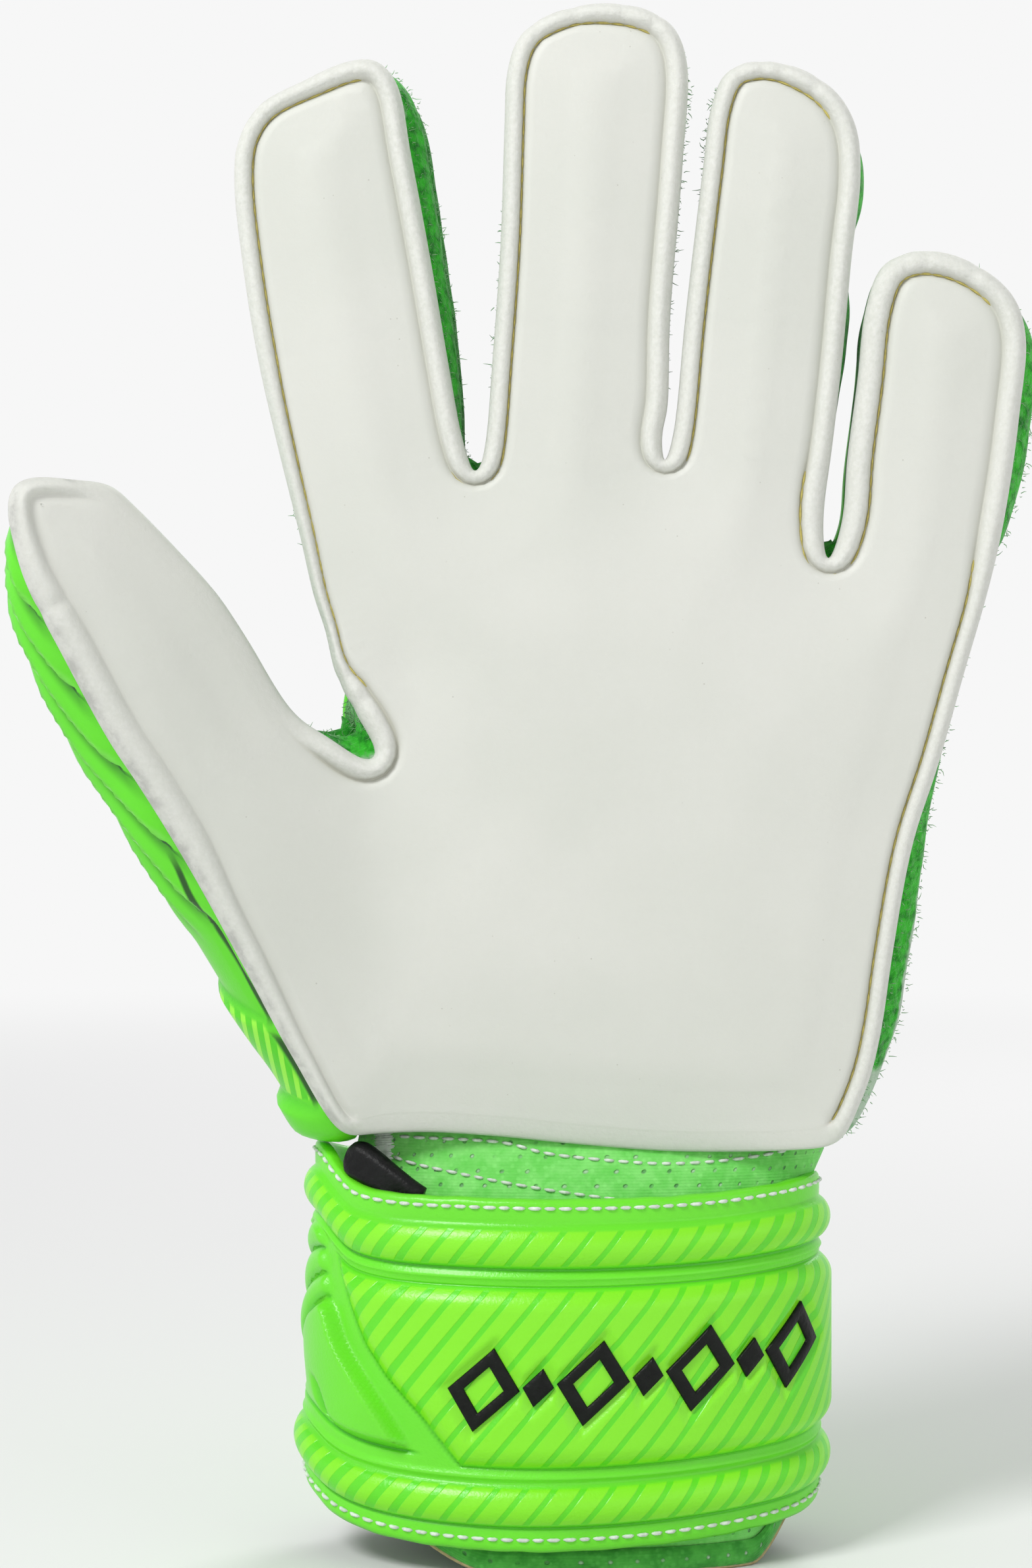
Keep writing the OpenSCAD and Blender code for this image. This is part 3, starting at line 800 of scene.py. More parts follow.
# the webs reach up between the fingers as folds of felt, instead of following the foam's notch
for foot, top, reach in (((-35.4, 146.2), (-5.0, 6.6), 8.0), ((-16.2, 198.0), (0.7, 4.2), 4.5),
                         ((18.5, 199.6), (0.1, 2.0), 3.0), ((48.4, 181.8), (0.6, 5.6), 5.5)):
    gap = np.linalg.norm(OUTLINE - foot, axis=1)
    weight = (1 - smooth(reach * 0.35, reach, gap))[:, None]
    still = np.array(top) * (1 - np.clip(gap / reach, 0, 1) ** 1.4)[:, None]
    push = push * (1 - weight) + still * weight

# the thumb's outer side has the moulded cover instead of pleated felt
thumb_outer = thumb_left & ~((SIDE_FINGER == THUMB) & (SIDE_ACROSS > -4))
MOULDED = blur(thumb_outer.astype(float), 8)


def pleated(q):
    """The gusset's fold in section, from the palm's foam (0) to the back cover (1)."""
    first = np.sin(np.pi * np.clip(q / 0.46, 0, 1)) * 0.92
    second = np.sin(np.pi * np.clip((q - 0.46) / 0.54, 0, 1)) * 1.08
    return np.maximum(first, second) + 0.28 * np.exp(-((q - 0.46) / 0.07) ** 2)


ROWS, FELT_FROM, FELT_DEEP = 21, 3.7, 19.3


def side_surface():
    """The gusset's points, row by row from the foam to the back: their places in the pattern pushed out,
    their depths, and q, how far across the gusset they are."""
    flat = []
    across = np.linspace(0, 1, ROWS)
    for q in across:
        swell = np.sin(np.pi * q)
        rough = 0.2 * wobble(np.stack([ARC, np.full(N, 40 * q)], 1), 3.1, 1.0) * swell * np.clip(bulge, 0.2, 1.4)
        section = pleated(q) * (1 - MOULDED) + swell ** 0.8 * MOULDED
        out = rough * (1 - MOULDED) - 0.75
        flat.append(OUTLINE + LEAN * q ** 1.3 + push * section[:, None] - INWARD * out[:, None])
    q = np.repeat(across, N)
    return np.vstack(flat), FELT_FROM + q * FELT_DEEP, q


def round_rows(values):
    """Values round the outline, repeated over the gusset's rows."""
    return np.tile(values, ROWS)


flat, depth, q = side_surface()
v = place(flat[:, 0], flat[:, 1], depth)
faces = ring_faces(ROWS, N)
away = np.insert(-INWARD[faces[len(faces) // 2][0] % N], 1, 0)
faces = outward(v, faces, len(faces) // 2, away)
# the bottom edge is open for the wrist
first = np.array([f[0] % N for f in faces])
closed_edge = ~(bottom[first] & (np.abs(OUTLINE[first, 0] - 6) < 42.5))
felt_faces = [faces[k] for k in np.flatnonzero(closed_edge & ~thumb_outer[first])]
outer_faces = [faces[k] for k in np.flatnonzero(closed_edge & thumb_outer[first])]
# how pale the felt is: at its cut edges, and in a worn strip down the heel of the hand
back_edge = round_rows(along_edge(0.10, (right_palm, 0.42)))
edge = np.maximum(np.exp(-q / 0.07), np.exp(-((1 - q) / back_edge) ** 1.5))
edge = edge * round_rows(0.75 + 0.5 * wobble(OUTLINE, 11.0, 3.0))
strip = round_rows(along_edge(0.0, (right_palm & (edge_z < 150), by_height((110, 1.0), (150, 0.2)))))
worn = np.maximum(smooth(0.10, 0.20, q) * (1 - 0.75 * smooth(0.4, 0.7, q)), 1 - smooth(86, 94, flat[:, 1]))
edge = np.maximum(edge, 0.95 * strip * worn)

SIDE_PATTERN = np.tile(OUTLINE, (ROWS, 1))
GUSSETS = ["index_middle_web", "middle_ring_web", "ring_little_web", "thumb_web_gusset", "index_side_gusset",
           "little_side_gusset"]
by_finger("side_gusset", SIDE_PATTERN, v, felt_faces, felt, {"edge": edge, "across": q},
          replaced=(GUSSETS, "gusset"), slot="gusset_fabric")


def fuzz():
    """Short loose fibres that stand out from the felt's cut edges and its fold."""
    rng = np.random.default_rng(12)
    felt_here = ~bottom & ~thumb_outer & (bulge > 0.35)
    # none in the gap between the ring and little fingers, where it would cross when they bend
    felt_here &= ~((SIDE_FINGER == RING) & (SIDE_ACROSS > 0)) & ~((SIDE_FINGER == LITTLE) & (SIDE_ACROSS < 0))
    v, faces, pattern = [], [], []
    for row, reach, often in ((1, 0.4, 0.6), (5, 0.5, 0.9), (10, 0.55, 0.9)):
        for k in np.flatnonzero(felt_here):
            for _ in range(2):
                if rng.random() > often:
                    continue
                at = row * N + k
                u, z = flat[at] + rng.normal(0, 0.3, 2)
                way = -INWARD[k] + rng.normal(0, 0.55, 2)
                long = reach * rng.uniform(0.5, 1.6)
                d = depth[at] + rng.normal(0, 0.5)
                bend = rng.normal(0, 0.35, 2)
                half, end = np.array([u, z]) + way * long * 0.6, np.array([u, z]) + (way + bend) * long
                line = place(*np.array([(u, z, d), (*half, d + rng.normal(0, 0.2)), (*end, d + rng.normal(0, 0.5))]).T)
                first = len(v)
                side = np.cross(line[2] - line[0], (0.3, 0.9, 0.3))
                side /= np.linalg.norm(side) + 1e-9
                other = np.cross(side, line[2] - line[0])
                other /= np.linalg.norm(other) + 1e-9
                for point, r in zip(line, (0.10, 0.085, 0.03)):
                    for angle in (0.0, 2.09, 4.19):
                        v.append(point + r * (side * math.cos(angle) + other * math.sin(angle)))
                for level in (0, 1):
                    for c in range(3):
                        e = (c + 1) % 3
                        a = first + 3 * level
                        faces.append((a + c, a + e, a + 3 + e, a + 3 + c))
                faces += [(first + 2, first + 1, first), (first + 6, first + 7, first + 8)]
                pattern += [tuple(OUTLINE[k])] * 9
    return np.array(pattern), np.array(v), faces


by_finger("gusset_fuzz", *fuzz(), fibres)

# The moulded cover's turned-in side, along the thumb and the heel of the hand: long slanting folds above,
# and two stepped facets with a fine cut line near the wrist.
z_here = flat[:, 1]
upper = smooth(112, 124, z_here)
tip_off = 1 - smooth(183, 191, z_here)
ends = np.clip(np.sin(np.pi * q), 0, 1) ** 0.5
# the folds: 16 mm apart, slanting by 52 mm across the side, and their section
folds = (round_rows(ARC + 2.5 * wobble(ARC[:, None], 14.0, 2.0)) - 52 * q) / 16.0
fold_height = np.interp(folds % 1.0, (0, 0.06, 0.25, 0.45, 0.5, 0.56, 0.72, 1.0),
                        (0.62, 0.52, 0.3, 0.0, -0.25, 0.35, 0.95, 0.62))
folded = smooth(0, 0.12, q) * (1 - smooth(0.62, 0.92, q)) * upper * tip_off
# the facets, each from its step down to the next
step1, step2, foot = 98.6 + 10.5 * q, 82.4 + 7.5 * q, 75.5
t1 = np.clip((step1 - z_here) / (step1 - step2), 0, 1)
t2 = np.clip((step2 - z_here) / (step2 - foot), 0, 1)
facet = 1.7 * smooth(0, 0.10, t1) * (1 - 0.75 * smooth(0.1, 1, t1))
facet = (facet + 2.1 * smooth(0, 0.16, t2) * (1 - smooth(0.55, 1.0, t2))) * ends * (1 - upper)
# painted shade along each step's crease, passed on as the cover's groove darkening
step_line = np.maximum(np.exp(-((z_here - step1) / 0.7) ** 2), np.exp(-((z_here - step2) / 0.7) ** 2))
step_line = step_line * (1 - upper) * ends
# the cut line, close behind the palm's foam: a shallow groove, painted near-black as its shade
cut_at = 0.06 + 0.05 * smooth(90, 122, z_here) + 0.012 * np.sin(z_here / 9)
cut_shown = (1 - smooth(126, 131, z_here)) * (1 - np.exp(-((z_here - step1 + 1.5) / 1.4) ** 2))
cut_shown = cut_shown * smooth(82.6, 84.5, z_here)
cut = np.exp(-((q - cut_at) / 0.03) ** 2) * cut_shown
shift = 1.9 * fold_height * folded + facet + 0.8 * np.sin(np.pi * q) - 0.8 * cut
moulded = flat - np.tile(INWARD, (ROWS, 1)) * shift[:, None]
stripes = (moulded[:, 0] + 0.12 * z_here - 9.7 * q) / 2.3
field = np.minimum(np.minimum(step1 - 0.9 - z_here, z_here - step2 - 0.9), (q - cut_at - 0.025) * FELT_DEEP)
# how strongly the folds' painted shade and highlight show
fold_shading = smooth(0, 0.1, q) * (1 - smooth(0.8, 1, q)) * upper * tip_off
by_finger("thumb_outer_cover", SIDE_PATTERN, place(moulded[:, 0], moulded[:, 1], depth), outer_faces, cover,
          {"phase": stripes, "duty": np.full(len(flat), 0.55), "field": field, "groove": 0.5 * step_line,
           "cut": (q - cut_at) * FELT_DEEP, "cut_shown": cut_shown, "folds": folds, "fold_shading": fold_shading},
          replaced=(["thumb_side_gusset"], None), slot="embossed_cover")

# ---------------------------------------------------------------- back cover


def back_line(z):
    """The middle line of the back's chevrons at a height."""
    return 6 + 0.10 * (z - 130)


def back_relief(p):
    """Height of the moulding on the back of the hand and fingers, and how much painted shade each point gets for lying
    in a groove.
    """
    u, z = p[:, 0], p[:, 1]
    which, _, _ = finger_of(u, z)
    height, dark = np.zeros(len(p)), np.zeros(len(p))
    for i in range(5):
        a, b = in_finger(i, u, z)
        here = (which == i) & (b > 2)
        wide = HALF[i] - 5.2
        knuckle, middle = (ZONES[i][0] + ZONES[i][1]) / 2, (ZONES[i][3] + ZONES[i][4]) / 2
        wave = ((b - 0.34 * np.abs(a) - knuckle) / ((middle - knuckle) / 2)) % 1.0
        shown = (1 - smooth(wide - 3.2, wide, np.abs(a))) * (1 - smooth(LENGTH[i] - 11, LENGTH[i] - 7, b))
        bar = smooth(0.04, 0.30, wave) * (1 - smooth(0.74, 0.98, wave))
        height = np.where(here, 2.0 * bar * shown, height)
        dark = np.where(here, np.exp(-(np.minimum(wave, 1 - wave) / 0.05) ** 2) * shown, dark)
    # the back of the hand: ribs that slope down to a middle line, inside a smooth border
    hand = which < 0
    off = np.abs(u - back_line(z))
    inside = smooth(9, 12.5, distance_to(BACK, p)) * smooth(88, 93, z) * (1 - smooth(183, 190, z))
    wave = ((z - 0.62 * off) / 12.5) % 1.0
    rib = smooth(0.05, 0.34, wave) * (1 - smooth(0.62, 0.93, wave))
    beside = 1 - np.exp(-(off / 2.4) ** 2)
    height = np.where(hand, (2.2 * rib * beside + 0.4) * inside, height)
    dark = np.where(hand, np.exp(-(np.minimum(wave, 1 - wave) / 0.05) ** 2) * inside * beside, dark)
    return height, dark


BACK_SECTION = [(1.9, 22.3), (0.9, 22.5), (0.2, 23.0), (-0.1, 23.9), (0.05, 24.8), (0.6, 25.5), (1.4, 25.95),
                (2.3, DEPTH), (3.0, 25.65), (3.4, 25.15), (3.75, 24.95), (4.1, 25.2), (4.6, 25.7), (5.4, DEPTH)]
SEAM_AT = 3.75
flat, depth, faces, inset = panel_surface(BACK, BACK_SECTION, lambda p, near: np.full(len(p), DEPTH), 1.55,
                                          [6.3, 7.4, 8.6], flip=True)
relief, dark = back_relief(flat)
inside = smooth(5.6, 8.0, inset)
relief, dark = relief * inside, dark * inside
depth = depth + relief + 0.9 * smooth(7, 18, inset)
which, across, along = finger_of(flat[:, 0], flat[:, 1])
on_hand = (flat[:, 1] + 0.9 * np.abs(flat[:, 0] - back_line(flat[:, 1]))) / 4.1
phase = np.where(which < 0, on_hand, along / 4.1 + 0.2 * np.abs(across))
# painted shade also along the seam's groove; both go to the cover as groove darkening
seam = np.exp(-((inset - SEAM_AT) / 0.32) ** 2)
by_finger("back_cover", flat, place(flat[:, 0], flat[:, 1], depth), faces, cover,
          {"phase": phase, "duty": np.full(len(flat), 0.3), "field": (relief - 0.9) * 2.2,
           "groove": np.clip(0.8 * dark + 0.6 * seam, 0, 1)},
          replaced=(["backhand_cover", "backhand_padding"], "cover"), slot="embossed_cover", pad=0.6)

# ---------------------------------------------------------------- stitches


def shifted(faces, by):
    return [tuple(i + by for i in f) for f in faces]


def tube_bits(paths, radius, sides=6):
    """One mesh of short closed tubes. Each path is a few points; its ends taper."""
    v, faces = [], []
    for path in paths:
        start, n = len(v), len(path)
        for k in range(n):
            t = path[min(k + 1, n - 1)] - path[max(k - 1, 0)]
            t = t / max(np.linalg.norm(t), 1e-9)
            a = np.cross(t, (0.31, 0.82, 0.47))
            a /= np.linalg.norm(a)
            b = np.cross(t, a)
            r = radius * (0.45 if k in (0, n - 1) else 1.0)
            for s in range(sides):
                w = 2 * math.pi * s / sides
                v.append(path[k] + r * (a * math.cos(w) + b * math.sin(w)))
        cap = tuple(range(sides))
        faces += shifted(ring_faces(n, sides) + [cap[::-1]] + shifted([cap], (n - 1) * sides), start)
    return np.array(v), faces


def stitch_paths(line, length, gap, lift, rng):
    """Cuts a dense line of points into stitches. Their middles stand up by lift along each point's own
    outward direction, which is the line's last three columns."""
    run = lengths_of(line[:, :3])
    out, at = [], 0.0
    while at + length < run[-1]:
        real = length * rng.uniform(0.85, 1.12)
        p = at_lengths(np.linspace(at, at + real, 5), run, line)
        out.append(p[:, :3] + p[:, 3:] * (lift * np.array([-0.6, 0.6, 1, 0.6, -0.6]))[:, None])
        at += real + gap
    return out


def palm_thread():
    """The stitches along the palm's groove, where they show, and each point's place in the pattern."""
    loop, = inset_loops(OUTLINE, [GROOVE_AT * wide])
    shown = along_edge(0.0, (left_side, 1.0), (right_palm, 1.0), (inner_face, 0.8),
                       (hand_edge & (edge_z > 181) & (edge_u > -20), 0.8), (index_left, 1.0), times=6)
    line = place(loop[:, 0], loop[:, 1], dip)
    line, loop, shown = (np.concatenate([a, a[:1]]) for a in (line, loop, shown))
    run = np.append(ARC, ARC[-1] + np.linalg.norm(OUTLINE[0] - OUTLINE[-1]))
    rng = np.random.default_rng(3)
    paths, places, at, sides = [], [], 0.0, 5
    while at < run[-1] - 3:
        length = rng.uniform(2.6, 3.6)
        if np.interp(at, run, shown) > 0.35:
            stitch = at_lengths(np.linspace(at, at + length, 4), run, line)
            stitch[:, 1] += np.array([0.1, -0.04, -0.04, 0.1])
            paths.append(stitch)
            places.append(at_lengths(at, run, loop))
        at += length + 0.04
    v, faces = tube_bits(paths, 0.22, sides)
    return np.repeat(np.array(places), 4 * sides, axis=0), v, faces


by_finger("palm_stitching", *palm_thread(), thread_olive)

# ---------------------------------------------------------------- cuff

# The wrist tube's half width a, half depth b and centre (cx, cy) at each height.
ZS = (0.0, 4.0, 20.0, 40.0, 52.0, 62.0, 69.0, 74.0, 78.0, 83.0, 90.0)
TUBE = dict(a=(43.0, 43.4, 43.7, 43.8, 43.6, 43.4, 43.4, 43.6, 43.6, 43.0, 42.5),
            b=(23.0, 23.4, 23.7, 23.6, 21.6, 18.8, 15.4, 12.6, 11.2, 9.4, 8.2),
            cx=(0, 0, 0, 0, 0.4, 1.4, 3.2, 5.2, 6.0, 7.0, 8.0),
            cy=(0, 0, 0, 0, -0.1, -0.3, -0.4, -0.3, -0.2, -0.4, -0.6))


def tube_at(z):
    return (np.interp(z, ZS, TUBE[k]) for k in ("a", "b", "cx", "cy"))


def tube_point(theta, z, grow):
    """The tube's point at an angle and a height, moved out by grow."""
    a, b, cx, cy = tube_at(z)
    c, s = np.cos(theta), np.sin(theta)
    x = cx + (a + grow) * np.sign(c) * np.abs(c) ** 0.92
    y = cy + (b + grow) * np.sign(s) * np.abs(s) ** 0.92
    # the soft rim dips at the front and back, and rises at the sides
    rise = 12.5 * smooth(-12, -41, x) + 10.5 * smooth(34, 45, x)
    return np.stack([x, y, z + rise * (1 - smooth(3, 34, z))], -1)


ROUND, UV_ROUND = 168, 36


def wrap_tube(name, heights, grow, mat, ripple, inward=False):
    """A tube round the wrist. Its first column of points is doubled, because its UV runs round it."""
    theta = np.linspace(0, 2 * np.pi, ROUND + 1)
    v, uv = [], []
    for z in heights:
        level = np.full(ROUND + 1, z)
        ripples = wobble(np.stack([45 * np.cos(theta), 45 * np.sin(theta), level], 1), 9.0, 4.0)
        v.append(tube_point(theta, level, grow + ripple * ripples))
        uv.append(np.stack([theta * UV_ROUND, level], 1))
    v = np.vstack(v)
    faces = ring_faces(len(heights), ROUND + 1, closed=False)
    if inward:
        faces = [f[::-1] for f in faces]
    normals = vertex_normals(v, faces)
    for first in range(0, len(v), ROUND + 1):
        both = normals[first] + normals[first + ROUND]
        normals[first] = normals[first + ROUND] = both / np.linalg.norm(both)
    return make_mesh(name, v, faces, mat, normals, None, np.vstack(uv))


band = wrap_tube("wrist_bandage", [*np.arange(2.5, 62, 4.0), *np.arange(63, 89, 0.9)], 0.0, bandage_mesh, 0.25)
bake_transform(band)
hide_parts("wrist_bandage")
inner = wrap_tube("cuff_lining", np.arange(1.5, 88, 4.0), -1.6, lining_mesh, 0.15, inward=True)
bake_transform(inner)


def hem():
    """The rolled binding of the lining's lower edge."""
    theta = np.linspace(0, 2 * np.pi, 181)
    section = ((-1.6, 4.6), (-2.0, 2.6), (-1.9, 0.8), (-1.2, 0.05), (-0.2, 0.0), (0.7, 0.2), (1.15, 1.2), (1.2, 2.6),
               (1.0, 4.0), (0.3, 4.8))
    ripple = 0.12 * wobble(np.stack([40 * np.cos(theta), 40 * np.sin(theta)], 1), 5.0, 2.0)
    v = np.vstack([tube_point(theta, np.full(181, float(z)), grow + ripple * (z > 0.3)) for grow, z in section])
    uv = np.vstack([np.stack([theta * UV_ROUND, np.full(181, z + grow)], 1) for grow, z in section])
    faces = ring_faces(len(section), len(theta), closed=False)
    return make_mesh("cuff_hem_binding", v, faces, lining_mesh, vertex_normals(v, faces), None, uv)


def hem_piping():
    """The raw tan edge that shows under the lining."""
    theta = np.linspace(0, 2 * np.pi, 181)
    ripple = 0.1 * wobble(np.stack([40 * np.cos(theta), 40 * np.sin(theta)], 1), 3.0, 2.0)
    return tube_bits([tube_point(theta, np.full(181, 0.42), 0.55 + ripple)], 0.42)


obj = hem()
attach(obj, "cuff")
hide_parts("cuff_hem")
obj = make_mesh("cuff_hem_piping", *hem_piping(), thread_tan)
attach(obj, "cuff")


def tube_front(x, z, out):
    """The front of the bandage at x and z, as points and outward directions."""
    a, b, cx, cy = tube_at(z)
    y = cy - (b + out) * (1 - np.clip(np.abs((x - cx) / a), 0, 0.999) ** (2 / 0.92)) ** 0.46
    return np.stack([x, y, z, 0 * x, -np.ones_like(x), 0 * x], 1)


def bandage_stitches():
    """Two rows of white stitches: along the bandage's upper edge, and slanting down from the pull tab."""
    upper = ((-30, 76.9), (-11, 76.2), (-3, 74.4), (6, 73.4), (18, 72.6), (30, 73.0), (40, 74.2), (46, 75.6))
    slanting = ((-33, 74.2), (-30, 72.9), (-18, 70.6), (-3, 68.2), (6, 67.0), (14, 66.0))
    paths = []
    for points, seed in ((upper, 1), (slanting, 2)):
        line = spline(points, 0.5, closed=False)
        line = tube_front(line[:, 0], line[:, 1], 0.1)
        paths += stitch_paths(line, 2.0, 0.75, 0.3, np.random.default_rng(seed))
    return tube_bits(paths, 0.34)


obj = make_mesh("bandage_stitching", *bandage_stitches(), thread_white)
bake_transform(obj)


def bartack():
    """The pale, dense stitching that holds the bandage's end beside the pull tab."""
    rng = np.random.default_rng(8)
    paths = []
    for z in np.arange(70.5, 79.0, 0.32):
        x = np.linspace(-34.6 + rng.uniform(-0.4, 0.3), -31.4 + rng.uniform(-0.3, 0.5), 5)
        paths.append(tube_front(x, np.full(5, z) + rng.uniform(-0.15, 0.15) + 0.1 * np.arange(5), 0.35)[:, :3])
    return tube_bits(paths, 0.3)


obj = make_mesh("bandage_bartack", *bartack(), thread_white)
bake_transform(obj)

# ---------------------------------------------------------------- strap

# The strap's middle surface is an ellipse round the wrist. Lengths s run round it from the front's middle.
STRAP_WIDE, STRAP_DEEP, STRAP_TALL = 47.3, 27.5, 63.0
angles = np.radians(np.arange(60, 460, 0.25))
lengths = lengths_of(np.stack([STRAP_WIDE * np.cos(angles), STRAP_DEEP * np.sin(angles)], 1))
lengths -= np.interp(math.radians(270), angles, lengths)


def s_at_angle(deg):
    return float(np.interp(math.radians(deg), angles, lengths))


def s_at_x(x):
    """Where the front of the strap has this x, as a length from its middle."""
    return s_at_angle(270 + math.degrees(math.asin(x / STRAP_WIDE)))


def on_strap(s, z, out):
    """A point on the strap: s round the wrist, towards +X, and out from its middle surface."""
    t = np.interp(s, lengths, angles)
    x, y = STRAP_WIDE * np.cos(t), STRAP_DEEP * np.sin(t)
    nx, ny = np.cos(t) / STRAP_WIDE, np.sin(t) / STRAP_DEEP
    k = 1 / np.hypot(nx, ny)
    return np.stack([x + out * nx * k, y + out * ny * k, z + 0 * x], -1)


# The heights of the strap's upper and lower edges along it.
TOP = np.array([(-90, 70.5), (-70, 73.5), (-59, 75.6), (-52, 75.0), (-46.5, 72.2), (-41, 69.4), (-33, 68.3), (-16, 68.0), (4, 67.9),
                (26, 68.3), (42, 69.2), (56, 69.8), (66, 69.0), (90, 66.0), (130, 62.0), (175, 61.5)])
LOW = np.array([(-90, 14.0), (-74, 14.5), (-62, 13.6), (-52, 11.2), (-45, 8.6), (-36.5, 6.8), (-25, 5.7), (-10, 5.2), (4, 5.5),
                (18.5, 6.3), (34, 7.4), (46, 8.3), (54, 9.4), (64, 11.0), (90, 10.5), (130, 10.2), (175, 10.2)])
top_line, low_line = spline(TOP, 1.0, closed=False), spline(LOW, 1.0, closed=False)


def strap_edges(s):
    """The heights of the lower and upper edges."""
    return np.interp(s, low_line[:, 0], low_line[:, 1]), np.interp(s, top_line[:, 0], top_line[:, 1])


def puff(v, a, b, soft):
    """A padded band between a and b, with rounded shoulders."""
    x = np.clip((v - a) / (b - a), 0, 1)
    return np.sin(np.pi * x) ** soft * ((v > a) & (v < b))


# v is the share of the strap's height. PANEL is the diagonal edge of the main panel and RIDGE that of the
# smooth wedge beside it, as lengths s at shares v.
PANEL_V, RIDGE_V = (0.20, 0.25, 0.376, 0.469, 0.552, 0.68, 0.76), (0.20, 0.259, 0.358, 0.454, 0.533, 0.603, 0.64)
PANEL_S = [s_at_x(x) for x in (-15.6, -19.1, -25.8, -31.6, -35.5, -39.4, -41.6)]
RIDGE_S = [s_at_x(x) for x in (-23.0, -26.1, -30.6, -35.1, -38.9, -41.0, -42.0)]
# The motif: a row of open and solid lozenges, with the middle, half width, half height and opening of each
MOTIF = [(s, 0.465 + 0.0011 * (s + 12), *((6.3, 7.5, 0.56) if k % 2 == 0 else (2.7, 3.4, 0.0)))
         for k, s in enumerate(np.linspace(-14, 43, 7))]


def line_at(v, at, wide):
    return np.exp(-((v - at) / wide) ** 2)


def strap_design(s, v):
    """The moulding's height in mm, the lime field's depth, the stripes' phase and width, and the grooves' painted
    shade.
    """
    low, high = strap_edges(s)
    z = low + v * (high - low)
    side = (s - np.interp(v, PANEL_V, PANEL_S)) * 0.80  # over 0 on the main panel's side of the diagonal
    up, down = (0.750 - v) * STRAP_TALL, (v - 0.236) * STRAP_TALL
    inside = np.minimum(np.minimum(up, down), side)
    panel = np.where(inside > 0, 1 - (1 - np.clip(inside / 4.2, 0, 1)) ** 2.2, 0)
    bands = puff(v, 0.803, 0.925, 0.62) + puff(v, 0.0714, 0.188, 0.62)
    piping = line_at(v, 0.777, 0.009) + line_at(v, 0.211, 0.009)
    # the smooth wedge beside the diagonal, with a notch near its foot
    wedge = (np.interp(v, RIDGE_V, RIDGE_S) - s) * 0.82
    left, far = s_at_x(-42.8), s_at_angle(180)
    fan = np.clip((left - s) / (left - far), 0, 1.5)
    low_rib, mid_rib, high_rib = 0.618 - 0.208 * fan, 0.686 - 0.150 * fan, 0.744 - 0.086 * fan
    above = np.where(s > left, np.interp(s, (left, s_at_x(-40.8)), (0.618, 0.612)), low_rib)
    to_top, from_foot = (above - v) * STRAP_TALL, (v - 0.262) * STRAP_TALL
    wedge_height = 3.3 * smooth(0, 1.7, wedge) * (1 - 0.045 * np.clip(wedge, 0, 30))
    wedge_height = wedge_height * smooth(0, 2.2, from_foot) * smooth(0, 1.8, to_top)
    notch = line_at(s - s_at_x(-43.3) + (v - 0.31) * 40, 0, 1.3) * (1 - smooth(0.33, 0.37, v))
    notch = notch * smooth(0, 1, from_foot) * (wedge > 0)
    # the ribs above the wedge, which fan out to the left
    from_right = np.interp(v, (0.60, 0.76), (s_at_x(-41.3), s_at_x(-44.2))) - s
    upper_ribs = np.where(v < high_rib, 1 + (v - mid_rib) / (high_rib - mid_rib), 2 + (v - high_rib) / 0.085)
    rib = np.where(v < mid_rib, (v - low_rib) / (mid_rib - low_rib), upper_ribs)
    ribs = (1.5 - 0.2 * np.clip(fan, 0, 1)) * np.abs(np.sin(np.pi * rib)) ** 0.6 * smooth(0.0, 2.5, from_right)
    ribs = ribs * (rib > 0) * smooth(-0.2, 1.5, (0.775 - v) * STRAP_TALL)
    # painted shade in the grooves: between the bands, at the panel's edges, along the wedge's foot, the ribs and the
    # notch
    grooves = [line_at(v, at, w) * dark for at, w, dark in ((0.800, 0.0065, 0.6), (0.069, 0.0055, 0.55),
                                                            (0.925, 0.008, 0.12), (0.190, 0.008, 0.15))]
    grooves += [line_at(v, at, 0.0035) * 0.45 * smooth(-1, 1, side) for at in (0.236, 0.750)]
    grooves.append(0.5 * line_at(side, -0.1, 0.35) * (up > -0.3) * (down > -0.3))
    grooves.append(0.75 * line_at(v, 0.2605, 0.006) * smooth(-1, 1.5, wedge))
    rib_line = line_at(np.abs(rib - np.round(rib)), 0, 0.07) * (rib > -0.2) * (rib < 2.3) * (v < 0.765)
    grooves.append(0.85 * rib_line * smooth(0.5, 2.0, from_right))
    grooves.append(0.6 * notch)
    groove = np.max(grooves, axis=0)
    # a shallow moat round each lozenge
    moat = np.zeros_like(s)
    for cs, cv, w, h, _ in MOTIF:
        x, y = s - cs, z - (low + cv * (high - low))
        reach = (np.abs(x - 0.25 * y) / w + np.abs(y) / h - 1) * (w * h / math.hypot(w, h))
        moat = np.maximum(moat, 1 - smooth(0.5, 1.9, reach))
    height = 0.3 + 2.1 * bands + 2.3 * panel + 0.42 * piping + wedge_height - 1.3 * notch + ribs
    low_field, high_field = (np.minimum(v - a, b - v) * STRAP_TALL for a, b in ((0.080, 0.184), (0.812, 0.914)))
    field = np.maximum(np.maximum(low_field, high_field), inside - 0.5)
    phase = (s - (0.80 + 0.10 * smooth(20, 60, s)) * z) / 5.0 + 0.004 * np.clip(s - 14, 0, 80) ** 1.6
    duty = 0.24 + 0.24 * (1 - smooth(-44, -14, s)) + 0.2 * smooth(14, 50, s)
    return height - 0.55 * groove - 0.75 * moat, field, phase, duty, groove


def draw_in(s, z):
    """How far the strap is drawn in, mm: at its left side, towards the top."""
    return 1.9 * (1 - smooth(-52, -30, s)) * smooth(34, 60, z)


# The strap's rows are closer together across its grooves: from, to, and how many.
CLOSER = ((0.060, 0.080, 7), (0.786, 0.812, 9), (0.230, 0.270, 12), (0.745, 0.756, 5), (0.205, 0.216, 4),
          (0.772, 0.783, 4))


